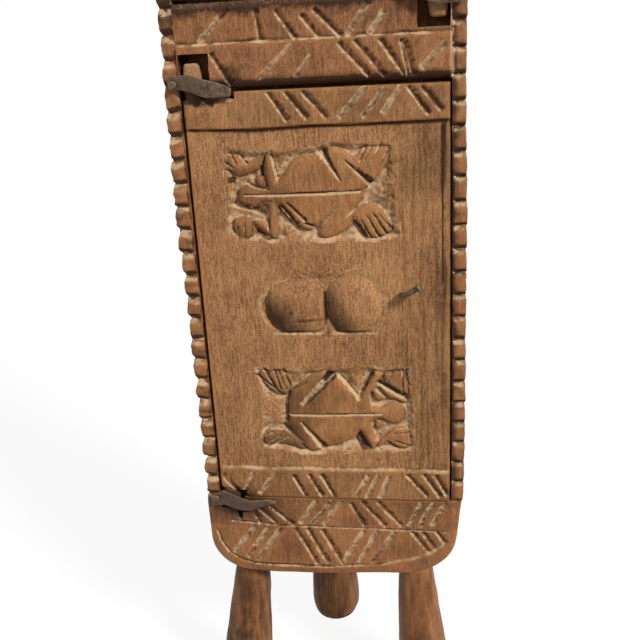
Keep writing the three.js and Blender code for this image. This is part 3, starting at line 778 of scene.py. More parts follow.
def bead_tree():
    """Beads along a path. Each is a cube, rounded in plan, whose front and outer side slope in
    towards its neighbours, as the knife's V cuts leave it."""
    tree, given = growing_tree("bead_row", "Path", {
        "Count": ("NodeSocketInt", BEAD_COUNT),
        "Half Width": ("NodeSocketFloat", 0.0051),
        "Half Depth": ("NodeSocketFloat", 0.0056),
        "Half Height": ("NodeSocketFloat", bead_pitch / 2000 * 1.01),
        "Outer Side": ("NodeSocketFloat", 1.0),
        "Front Notch": ("NodeSocketFloat", 0.46),
        "Side Notch": ("NodeSocketFloat", 0.16),
        "Scoop": ("NodeSocketFloat", 0.2),
        "Flat Share": ("NodeSocketFloat", 0.5),
        "Tilt": ("NodeSocketFloat", 0.06),
        "Unevenness": ("NodeSocketFloat", 0.002),
        "Seed": ("NodeSocketInt", 7),
    }, "Beads")

    def work(operation, first, second):
        return maths(tree, operation, first, second)

    cube = add(tree, "GeometryNodeMeshCube", {
        "Size": (2, 2, 2), "Vertices X": 5, "Vertices Y": 5, "Vertices Z": 13,
    })
    parts = add(tree, "ShaderNodeSeparateXYZ", {
        0: add(tree, "GeometryNodeInputPosition").outputs[0],
    })
    across, back, height = (parts.outputs[axis] for axis in range(3))
    wide = work("ABSOLUTE", across, 0.0)
    deep = work("ABSOLUTE", back, 0.0)
    ring = work("POWER", work("ADD", work("POWER", wide, 8.0), work("POWER", deep, 8.0)), 0.125)
    rounded = work("DIVIDE", work("MAXIMUM", wide, deep), work("MAXIMUM", ring, 0.001))
    steeper = work("MULTIPLY", work("LESS_THAN", height, 0.0), 0.25)
    flat = work("ADD", given["Flat Share"], steeper)
    from_flat = work("SUBTRACT", work("ABSOLUTE", height, 0.0), flat)
    slope = work("MAXIMUM", work("DIVIDE", from_flat, work("SUBTRACT", 1.0, flat)), 0.0)
    outer = work("GREATER_THAN", work("MULTIPLY", across, given["Outer Side"]), 0.0)
    side_cut = work("MULTIPLY", work("MULTIPLY", slope, given["Side Notch"]), outer)
    hollow = work("MULTIPLY", work("MULTIPLY", across, across), given["Scoop"])
    notch = work("MULTIPLY", work("SUBTRACT", 1.0, hollow), given["Front Notch"])
    front = work("LESS_THAN", back, 0.0)
    front_cut = work("MULTIPLY", work("MULTIPLY", slope, notch), front)
    narrower = work("SUBTRACT", rounded, side_cut)
    shallower = work("SUBTRACT", rounded, front_cut)
    cut = add(tree, "ShaderNodeCombineXYZ", {
        0: work("MULTIPLY", across, narrower), 1: work("MULTIPLY", back, shallower), 2: height,
    })
    bead = add(tree, "GeometryNodeSetPosition", {
        "Geometry": cube.outputs["Mesh"], "Position": cut.outputs[0],
    })
    halves = add(tree, "ShaderNodeCombineXYZ", {
        0: given["Half Width"], 1: given["Half Depth"], 2: given["Half Height"],
    })
    curve = add(tree, "GeometryNodeMeshToCurve", {"Mesh": given["Path"]})
    spaced = add(tree, "GeometryNodeResampleCurve", {
        "Curve": curve.outputs[0], "Count": given["Count"],
    }, mode="COUNT")
    points = add(tree, "GeometryNodeCurveToPoints", {
        "Curve": spaced.outputs[0],
    }, mode="EVALUATED")
    change = add(tree, "FunctionNodeRandomValue", {
        0: (0.95, 0.94, 0.98), 1: (1.0, 1.0, 1.02), "Seed": given["Seed"],
    }, data_type="FLOAT_VECTOR")
    scale = add(tree, "ShaderNodeVectorMath", {
        0: halves.outputs[0], 1: change.outputs[0],
    }, operation="MULTIPLY")
    turn = add(tree, "FunctionNodeRandomValue", {
        0: (-0.8, -1.0, -0.8), 1: (0.8, 1.0, 0.8), "Seed": given["Seed"],
    }, data_type="FLOAT_VECTOR")
    tilt = add(tree, "ShaderNodeVectorMath", {
        0: turn.outputs[0], "Scale": given["Tilt"],
    }, operation="SCALE")
    row = add(tree, "GeometryNodeInstanceOnPoints", {
        "Points": points.outputs["Points"], "Instance": bead.outputs["Geometry"],
        "Rotation": tilt.outputs[0], "Scale": scale.outputs[0],
    })
    return finish_tree(tree, given, row.outputs[0], 190.0)


def grown(path, tree, settings):
    """The mesh that a tree makes along a path, with its inputs set by their identifiers."""
    change = path.modifiers.new(tree.name, "NODES")
    change.node_group = tree
    for item in tree.interface.items_tree:
        if item.item_type == "SOCKET" and item.name in settings:
            change[item.identifier] = settings[item.name]
    bpy.context.view_layer.update()
    worked = path.evaluated_get(bpy.context.evaluated_depsgraph_get())
    mesh = bpy.data.meshes.new_from_object(worked)
    path.modifiers.clear()
    path.data = mesh
    return path


def bead_path(side):
    """The line down the middle of a rail, with one point for each bead."""
    heights = BEAD_START + bead_pitch * (np.arange(BEAD_COUNT) + 0.5)
    across = (OPENING_HALF + side_at(heights, side)) / 2
    places = in_frame(np.stack([side * across, np.full(BEAD_COUNT, 6.0), heights], 1))
    mesh = bpy.data.meshes.new("bead_path")
    mesh.from_pydata(places.tolist(), [(i, i + 1) for i in range(BEAD_COUNT - 1)], [])
    return stood("bead_path", mesh)


# The wood of the log and the doors: warm brown, with fine upright grain, open pores and a sheen
# where hands have worn it. Pale earth lies in the cuts and on ledges, with highlights painted on
# lit rims and steps, and soot, grease and painted shade darken what is sheltered.
def colour(red, green, blue):
    """A colour written as it is seen, from 0 to 255, as the shader takes it."""
    linear = [
        c / 12.92 if c <= 0.04045 else ((c + 0.055) / 1.055) ** 2.4
        for c in (red / 255, green / 255, blue / 255)
    ]
    return (*linear, 1.0)


def group_of(name, inputs, outputs):
    """An empty shader group with its named inputs and outputs."""
    tree = bpy.data.node_groups.new(name, "ShaderNodeTree")
    take_inputs(tree, inputs)
    for label, kind in outputs.items():
        tree.interface.new_socket(label, in_out="OUTPUT", socket_type=kind)
    return tree


def spread(tree, value, low, high):
    """The value as a share of the way from low to high."""
    return add(tree, "ShaderNodeMapRange", {
        "Value": value, "From Min": low, "From Max": high,
    }).outputs[0]


def noise_at(tree, place, scale, detail=2.0, rough=0.5, stretch=(1, 1, 1)):
    moved = add(tree, "ShaderNodeMapping", {"Vector": place, "Scale": stretch}).outputs[0]
    return add(tree, "ShaderNodeTexNoise", {
        "Vector": moved, "Scale": scale, "Detail": detail, "Roughness": rough,
    }).outputs["Fac"]


def times(tree, first, second):
    return maths(tree, "MULTIPLY", first, second)


def plus(tree, first, second):
    return maths(tree, "ADD", first, second)


def levels_on(tree):
    """How much earth with painted highlight, soil with painted shade, and polish each point holds.
    """
    return {
        label: add(tree, "ShaderNodeAttribute", attribute_name=label).outputs["Fac"]
        for label in ("dust_and_highlight", "soil_and_shade", "polish")
    }


def grain_group():
    """Upright grain: growth bands, fine streaks, fibres and specks over slow changes of tone."""
    tree = group_of("upright_grain", {
        "Light": ("NodeSocketColor", WHITE), "Middle": ("NodeSocketColor", WHITE),
        "Dark": ("NodeSocketColor", WHITE),
    }, {"Color": "NodeSocketColor", "Height": "NodeSocketFloat"})
    given = add(tree, "NodeGroupInput").outputs
    place = add(tree, "ShaderNodeTexCoord").outputs["Object"]
    slow = noise_at(tree, place, 18.0, 2.0, 0.5)
    band = noise_at(tree, place, 150.0, 3.0, 0.6, (1, 1, 0.07))
    streak = noise_at(tree, place, 620.0, 3.0, 0.65, (1, 1, 0.12))
    fibre = noise_at(tree, place, 1400.0, 2.0, 0.6, (1, 1, 0.12))
    speck = noise_at(tree, place, 950.0, 3.0, 0.7)
    fine = plus(tree, times(tree, streak, 0.5), plus(
        tree, times(tree, fibre, 0.5), times(tree, speck, 0.85)))
    tone = plus(tree, fine, plus(tree, times(tree, slow, 0.4), times(tree, band, 0.2)))
    shade = blend(tree, spread(tree, tone, 1.165, 1.445), given["Middle"], given["Light"])
    shade = blend(tree, spread(tree, tone, 1.235, 0.955), shade, given["Dark"])
    pores = spread(tree, noise_at(tree, place, 1500.0, 1.0, 0.5, (1, 1, 0.12)), 0.6, 0.7)
    shade = blend(tree, times(tree, pores, 0.35), shade, given["Dark"])
    height = plus(tree, fine, times(tree, pores, -0.6))
    add(tree, "NodeGroupOutput", {"Color": shade, "Height": height})
    return tree


def wear_group():
    """Pale earth and painted highlights in the cuts, dark soil and painted shade in shelter, and
    polish on what stands proud.
    """
    tree = group_of("wear_and_earth", {
        "Color": ("NodeSocketColor", WHITE), "Earth And Highlight Color": ("NodeSocketColor", WHITE),
        "Soil And Shade Color": ("NodeSocketColor", WHITE), "Polished": ("NodeSocketColor", WHITE),
    }, {"Color": "NodeSocketColor", "Roughness": "NodeSocketFloat", "Height": "NodeSocketFloat"})
    given = add(tree, "NodeGroupInput").outputs
    place = add(tree, "ShaderNodeTexCoord").outputs["Object"]
    levels = levels_on(tree)
    speckle = noise_at(tree, place, 1100.0, 4.0, 0.75)
    upright = noise_at(tree, place, 420.0, 3.0, 0.6, (1, 1, 0.06))
    patch = noise_at(tree, place, 130.0, 3.0, 0.6)
    dust_and_highlight = spread(tree, plus(tree, levels["dust_and_highlight"], times(tree, plus(
        tree, times(tree, speckle, 2.4), times(tree, patch, 0.6)), 0.55)), 1.1, 1.46)
    mottle = plus(tree, times(tree, upright, 0.5), plus(
        tree, times(tree, patch, 0.4), times(tree, speckle, 0.5)))
    soil_and_shade = spread(tree, plus(tree, levels["soil_and_shade"], mottle), 0.76, 1.54)
    polish = spread(tree, plus(tree, levels["polish"], times(tree, patch, 0.3)), 0.3, 1.1)
    scratch = noise_at(tree, place, 620.0, 2.0, 0.6, (1, 1, 0.07))
    scratches = times(tree, spread(tree, scratch, 0.64, 0.72), spread(tree, patch, 0.45, 0.7))
    shade = blend(tree, times(tree, polish, 0.5), given["Color"], given["Polished"])
    shade = blend(tree, times(tree, scratches, 0.4), shade, given["Earth And Highlight Color"])
    shade = blend(tree, times(tree, soil_and_shade, 0.92), shade, given["Soil And Shade Color"])
    shade = blend(tree, times(tree, dust_and_highlight, 0.8), shade, given["Earth And Highlight Color"])
    rough = plus(tree, times(tree, polish, -0.2), times(tree, plus(tree, dust_and_highlight, soil_and_shade), 0.2))
    add(tree, "NodeGroupOutput", {
        "Color": shade, "Roughness": plus(tree, rough, 0.66),
        "Height": times(tree, plus(tree, speckle, dust_and_highlight), 0.5),
    })
    return tree


grain = grain_group()
wear = wear_group()
LOG_TONES = (176, 122, 79), (137, 89, 56), (80, 47, 29)
PALE_EARTH_AND_HIGHLIGHT = colour(208, 174, 133)
DARK_SOIL_AND_SHADE = colour(46, 25, 9)
HAND_POLISH = colour(170, 112, 60)


def wood_material(name, tones):
    """Grained and worn wood, from its light, middle and dark tones."""
    light, middle, dark = (colour(*tone) for tone in tones)
    material = bpy.data.materials.new(name)
    material.use_nodes = True
    tree = material.node_tree
    tree.nodes.clear()
    fibres = add(tree, "ShaderNodeGroup", {
        "Light": light, "Middle": middle, "Dark": dark,
    }, node_tree=grain)
    handled = add(tree, "ShaderNodeGroup", {
        "Color": fibres.outputs["Color"], "Earth And Highlight Color": PALE_EARTH_AND_HIGHLIGHT, "Soil And Shade Color": DARK_SOIL_AND_SHADE,
        "Polished": HAND_POLISH,
    }, node_tree=wear)
    height = plus(tree, fibres.outputs["Height"], handled.outputs["Height"])
    bump = add(tree, "ShaderNodeBump", {"Strength": 0.75, "Distance": 0.0006, "Height": height})
    shader = add(tree, "ShaderNodeBsdfPrincipled", {
        "Base Color": handled.outputs["Color"], "Roughness": handled.outputs["Roughness"],
        "Normal": bump.outputs[0], "Specular IOR Level": 0.25,
    })
    add(tree, "ShaderNodeOutputMaterial", {"Surface": shader.outputs[0]})
    return material


log_wood = wood_material("log_wood", LOG_TONES)

# What is hollow or stands proud by these millimetres, against the surface round it, holds all the
# painted shade, or the earth where it faces up, or the polish that it can.
SUNK_IN = 0.3
STANDS_PROUD = 0.22
SMOOTHINGS = 8
SHARP_FROM = 48


def points_of(mesh, what):
    """The places or the normals of all the points of a mesh."""
    values = np.empty(len(mesh.vertices) * 3, np.float32)
    mesh.vertices.foreach_get(what, values)
    return values.reshape(-1, 3)


def weathered(thing, carved):
    """Writes how much earth and painted highlight, soil and painted shade, and polish each point
    holds, from its shape and the carving.
    """
    mesh = thing.data
    count = len(mesh.vertices)
    place = points_of(mesh, "co").astype(float)
    normal = points_of(mesh, "normal")
    edges = np.empty(len(mesh.edges) * 2, np.int32)
    mesh.edges.foreach_get("vertices", edges)
    a, b = edges.reshape(-1, 2).T
    links = np.maximum(np.bincount(a, minlength=count) + np.bincount(b, minlength=count), 1)
    smooth = place.copy()
    for _ in range(SMOOTHINGS):
        total = np.stack([
            np.bincount(a, smooth[b, axis], count) + np.bincount(b, smooth[a, axis], count)
            for axis in range(3)
        ], 1)
        smooth = 0.5 * smooth + 0.5 * total / links[:, None]
    hollow = np.einsum("ij,ij->i", smooth - place, normal) * 1000
    local = (place - CORNER) * 1000
    dust_and_highlight, soil_and_shade, polish = carved(local, normal)
    face_up = np.clip(normal[:, 2], 0, 1)
    sunk_in = np.clip(hollow / SUNK_IN, 0, 1)
    dust_and_highlight = dust_and_highlight + 0.2 * face_up + 0.25 * sunk_in * face_up
    # Hollows that don't face up are darkened with painted shade.
    soil_and_shade = soil_and_shade + 0.6 * sunk_in * (1 - face_up)
    polish = polish + np.clip(-hollow / STANDS_PROUD, 0, 1)
    for label, values in (("dust_and_highlight", dust_and_highlight), ("soil_and_shade", soil_and_shade), ("polish", polish)):
        layer = mesh.attributes.new(label, "FLOAT", "POINT")
        layer.data.foreach_set("value", np.clip(values, 0, 1.5).astype(np.float32))
    mesh.shade_smooth()
    mesh.set_sharp_from_angle(angle=math.radians(SHARP_FROM))


def coated(thing, material):
    """Gives the whole of a thing one material."""
    thing.data.materials.clear()
    thing.data.materials.append(material)


def log_weather(local, normal):
    """Earth and soil on the log: earth in its carving, and painted shade in the rooms, notches and
    gaps, under the beads and on what faces down.
    """
    x, y, z = local.T
    over = z > BOX_HEIGHT / 2 + 30
    zt = np.where(over, BOX_HEIGHT - z, z)
    xt = np.where(over, -x, x)
    above_foot = np.maximum(zt, 0)
    zt = zt - lifted(xt, above_foot) * (zt > 0) + sagging(xt, above_foot) * (zt > -2.5) * ~over

    legs = z < -2.5
    front = (y < 7) & (normal[:, 1] < 0.2)
    block = np.array(end_block_front(xt, zt, LOWER_BLOCK_SEED)[1:]) * (zt < END_BLOCK)
    cross = np.array(crosspiece_front(x, z, CROSSPIECE_SEED)[1:])
    on_cross = (z > OPENING_TOP) & (z < OPENING_TOP + CROSS_HEIGHT) & (np.abs(x) < OPENING_HALF)
    dust_and_highlight, soil_and_shade = np.where(front, np.where(on_cross, cross, block), 0)
    outer = (y > 9) & (normal[:, 0] * x + normal[:, 1] * (y - FLAT_SIDE_DEPTH) > 4) & (z > -3)
    hollowed = (y > 3) & (np.abs(x) < OPENING_HALF + 0.5) & (zt > 48)
    hollowed = hollowed & (zt < BOX_HEIGHT / 2 - 3) & ~outer
    stained = spot(x + 55, 9, z - 405, 7) * on_cross
    # What faces down is darkened with painted shade; the stained spot lies by the head strap's end.
    soil_and_shade = soil_and_shade + 0.35 * (normal[:, 2] < -0.35) + 0.7 * stained
    # The rooms are painted in shade, more strongly within 20 mm of the front.
    soil_and_shade = soil_and_shade + 0.7 * (hollowed & (y < 20)) + 0.35 * (hollowed & (y >= 20))
    patchy = 0.12 + 0.26 * waver(x + y, z / 3, 17, 893) + 0.14 * waver(x - y, z / 6, 7, 894)
    soil_and_shade = soil_and_shade + outer * (patchy + 0.12 * ease((y - 60) / 60) - 0.3)

    strip = (np.abs(x) > OPENING_HALF - 0.2) & (zt > END_BLOCK + 4) & (y < 8)
    # What faces up on the beads is pale with earth and a painted highlight.
    dusty = 0.36 + 0.4 * waver(x + 0.7 * y, z, 2.6, 881) + 0.12 * (x < 0)
    dust_and_highlight = dust_and_highlight + strip * ease((normal[:, 2] - 0.15) / 0.3) * dusty
    dust_and_highlight = dust_and_highlight + 0.3 * strip * np.clip(waver(x, z, 3.3, 882), 0, 1)
    # Their undersides are darkened with painted shade.
    under = 1.0 + 0.35 * waver(x + y, z, 3.1, 884)
    soil_and_shade = soil_and_shade + strip * ease((-normal[:, 2] - 0.1) / 0.5) * under
    soil_and_shade = soil_and_shade + 0.35 * strip * np.clip(waver(x + y, z, 5.5, 883), -0.5, 1)
    # Their inner edges, beside the gaps to the doors, get painted shade, wider on the right.
    inner = np.clip((OPENING_HALF + np.where(x > 0, 4.2, 1.2) - np.abs(x)) / 3.2, 0, 1)
    soil_and_shade = soil_and_shade + strip * (0.16 + 0.75 * inner)
    # A painted shadow lies on the left beads at the top of the crosspiece, under the upper door.
    soil_and_shade = soil_and_shade + 0.8 * strip * (x < 0) * ridge(z - 452, 16)

    across = x + 0.6 * y
    streaky = 0.5 * waver(across, z / 8, 3.4, 890) + 0.35 * waver(across, z / 14, 1.7, 891)
    soil_and_shade = soil_and_shade + (np.where(y > 70, 0.62, 0.45 - 0.06 * np.sign(x)) + 0.45 * streaky) * legs
    rubbed = ease((-55 - z) / 30) * ease((waver(x, z / 2.5, 4, 892) - 0.35) / 0.5)
    dust_and_highlight = dust_and_highlight + 0.42 * rubbed * (y < 50)
    dust_and_highlight = np.maximum(dust_and_highlight, 0.15 * front * (z > -2))
    by_strap = spot(xt + 80, 25, zt - 64, 13) * (y < 6)
    polish = 0.45 * front * (zt < END_BLOCK) + 0.2 * on_cross + 0.1 * legs
    polish = polish - 0.9 * (hollowed & (y >= 20))
    return dust_and_highlight * (1 - 0.8 * by_strap), soil_and_shade + 1.0 * by_strap, polish


# The left row's beads are coarser and less even than the right row's.
BEAD_CUTS = {
    -1: {"Seed": 7, "Half Width": 0.0056, "Front Notch": 0.5, "Side Notch": 0.26, "Scoop": 0.1,
         "Flat Share": 0.34, "Tilt": 0.15, "Unevenness": 0.0026},
    1: {"Seed": 23, "Half Width": 0.0051, "Front Notch": 0.72, "Side Notch": 0.1, "Scoop": 0.85,
        "Flat Share": 0.52, "Tilt": 0.06, "Unevenness": 0.0016},
}
bead_rows = bead_tree()
beads = [
    grown(bead_path(side), bead_rows, {"Outer Side": float(side), "Material": log_wood, **cuts})
    for side, cuts in BEAD_CUTS.items()
]
body = combined(log_core(), "UNION", [
    lower_block, upper_block, crosspiece, rail(-1), rail(1), *beads, *[leg(*one) for one in LEGS],
])
body = combined(body, "DIFFERENCE", cutters)
weathered(body, log_weather)
coated(body, log_wood)
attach(body, "box")
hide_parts("box_body")


# Doors: each is one board with its two pegs, whittled from one piece of wood. Between a band of
# gouge cuts at each end its face is pared down, and two frogs and a pair of domes are left
# standing in sunk panels. The upper door is the same carving, turned half a turn.
DOOR_HALF = 93.75
DOOR_FOOT = 70.5
DOOR_HEAD = 392.5
DOOR_MIDDLE = 231.5
DOOR_THICK = 16.0
BAND_TOP = 368.0
BAND_BOTTOM = 97.2
FIELD_DEPTH = 2.0
PIVOT = -85.75
HINGE_ROUND = 4.2
FREE_ROUND = 2.6
END_ROUND = 2.2
BACK_STEPS = 16
PEG_RADIUS = 7.3
PEG_TAPER = 9.6
PEG_ROUND = 1.6
PEG_OVER = 20.1
PEG_UNDER = 10.4

TOP_STROKES = [
    (-32, 391, -19, 371), (-20, 391, -5, 372), (-8, 391, 9, 372), (38, 392, 18, 371),
    (50, 389, 34, 371), (61, 391, 49, 373), (65, 391, 79, 372), (74, 391, 88, 374),
]
FOOT_STROKES = [
    (-91, 91, -77, 72), (-64, 92, -73, 73), (-45, 93, -60, 73), (-32, 92, -22, 72),
    (-19, 93, -9, 73), (-9, 93, 2, 71), (30, 92, 19, 73), (38, 92, 28, 71), (47, 92, 39, 72),
    (60, 94, 76, 75), (73, 95, 86, 75), (82, 94, 92, 76),
]

# A carved figure is the outlines left standing, each with its height as a share, the pockets cut
# back to the ground, and the knife cuts that part its limbs, each with its two ends and its widths
# there. Places are in millimetres from the middle of its back.
UPPER_FROG = {
    "middle": (-2.0, DOOR_MIDDLE + 87.5), "darker": 0.24,
    "panel": [(-66, -30), (-30, -34), (0, -34.5), (30, -35), (60, -33), (57, -8), (54, 33),
              (12, 36), (-12, 31), (-62, 33)],
    "lobes": [
        (1.0, [(-57.5, 5), (-50, 9.5), (-44, 6), (-35, 4.5), (-36, 10), (-37.5, 18), (-37, 26),
               (-34.3, 31), (-31.4, 31.5), (-29.1, 21.5), (-27.2, 10.6), (-24.2, 14.3),
               (-16.8, 24), (-11.2, 28.5), (-4, 30.5), (1.2, 29), (7.4, 32), (14.7, 34.5),
               (23.3, 30.5), (31.8, 24), (40.2, 12.3), (41.1, 6.2), (35, 1.9), (35.8, -2.5),
               (27.4, -12.1), (28.1, -19.3), (25.6, -24), (11.8, -31.8), (2.6, -33.2),
               (-0.4, -28.5), (-1.5, -25.3), (-7.1, -27), (-16.1, -23.8), (-24.8, -16),
               (-27.2, -7), (-28.1, -9.8), (-28.9, -31.2), (-32.2, -33.2), (-36.6, -31),
               (-37.2, -14.3), (-35.4, -6), (-46.5, -9.6), (-58, -5.6)]),
        (0.86, [(-64.4, 26), (-62, 31), (-59.2, 31), (-53.5, 29.5), (-51.3, 29), (-48.5, 25),
                (-40.9, 28), (-34.3, 31), (-35.5, 25.2), (-38.6, 20), (-45.3, 16.6), (-53.7, 13.7),
                (-58.1, 14.5), (-64, 18)]),
        (0.7, [(-44.6, 14), (-38.1, 16.4), (-34.5, 8.4), (-37, 4.5), (-42.4, 6.7)]),
        (0.95, [(18, 30.5), (30, 26), (34.5, 33), (45.1, 33.6), (51.2, 33.8), (55.5, 30.5),
                (52.7, 20.6), (45, 12.2), (41, 5.7), (35.8, 8), (20, 20)]),
        (0.95, [(24, -11), (38.7, -5.6), (46.6, -10.7), (53.5, -20.8), (55.2, -24.4),
                (52.5, -29.9), (46.9, -32.3), (41.1, -33.6), (34.7, -33.4), (29, -24),
                (24, -20)]),
        (0.85, [(-31.4, -33), (-37, -30), (-47, -21.3), (-46, -16.5), (-35, -20.2), (-30, -28)]),
        (0.9, [(-63.2, -17), (-59.5, -14.8), (-46.1, -15.5), (-45.7, -21.3), (-48.2, -32.4),
               (-60, -32.5), (-62, -25.6), (-64, -23.7)]),
    ],
    "pockets": [
        [(-39.9, 22), (-36.6, 22), (-36.4, 13), (-39.9, 13.6)],
        [(-64.5, 15), (-57.5, 13.4), (-58.6, 9), (-64.5, 9.6)],
        [(-45, -23.5), (-33.5, -32.5), (-36, -34), (-46.5, -28)],
    ],
    "cuts": [
        (4.4, 32.6, 18.9, 8.2, 9.0, 1.6, 0.5, 0.55, 1.2),
        (21.6, 23.4, 40.8, 4.9, 2.0, 6.6, 0.7, 0.3, 1.2),
        (15.9, -9.1, -2.2, -25.6, 2.0, 6.6, 0.3, 0.5), (28.4, -11.2, 18.4, -19.6, 3, 2, 0.5, 0.6),
        (37.7, 33.4, 32.6, 21.5, 3.6, 2.2), (42.0, 34.4, 35.5, 21.4, 3, 1.6),
        (48.3, 34.6, 40.3, 20.8, 3, 1.6), (54.5, 31.5, 44.2, 15.2, 3, 1.4),
        (32.1, -19.3, 39.1, -33.4, 1.6, 3.2), (36.2, -15.8, 44.9, -33, 1.6, 3.4),
        (40.7, -14.1, 50.5, -30.8, 1.6, 3.4), (44.7, -15.1, 54.3, -27, 1.4, 2.8),
        (26.2, -19.8, 35.2, -33.8, 4.0, 7.5), (-25.8, -7.2, -14.6, -22.6, 3.4, 4.8),
        (-21.6, -5.4, -8.0, -20.0, 2.6, 4.2), (-24.6, -13.6, -13.3, -26.2, 3.2, 4.6),
        (-10.0, -21.0, 1.0, -24.6, 3.0, 3.4, 0.6, 0.1, 0.8),
        (-18.4, 25.6, -26.2, 19.3, 1.8, 2.2), (-17.2, 22.6, -25.6, 15.6, 1.4, 2),
        (-50.5, 9.7, -45.3, 6.0, 2.6, 2.6), (-45.3, 6.0, -33.6, 3.5, 2.6, 2),
        (-32.4, -4.2, -41.6, -6.2, 2.0, 2.8), (-41.6, -6.2, -48.2, -10, 2.8, 2.6),
        (-61.0, -5.6, -36.4, -14.9, 5.4, 7.0, 0.7, 0.4, 1.1),
        (-35.2, -12.0, -36.0, -26.0, 2.2, 2.8, 0.5, 0.1, 0.7),
        (-31.2, 31.4, -27.3, 9.9, 3.0, 2.4, 0.5, 0.5, 0.4),
        (-35.8, 28, -38.4, 17, 2.4, 3, 0.5, 0.1, 0.9),
        (-58.9, -21.5, -59.6, -33, 1.6, 2.2), (-53.4, -19.6, -54.4, -33.4, 1.6, 2.2),
        (-47.5, -18.3, -49.3, -33, 1.6, 2.2), (-61.4, 31.4, -56.0, 22.6, 2.2, 2),
        (-53.7, 29, -48.4, 22.6, 3, 2.4), (-65.2, 25.0, -58.5, 20.2, 2.4, 2),
        (-65.2, 19.4, -58.0, 16.0, 2.2, 2),
    ],
    "spine": [(-52.6, 1.2, -36.5, 0.6, 2.0, 3.2), (-36.5, 0.6, 4.3, 1.0, 3.2, 3.8),
              (4.3, 1.0, 33.0, 1.8, 3.8, 3.0)],
}
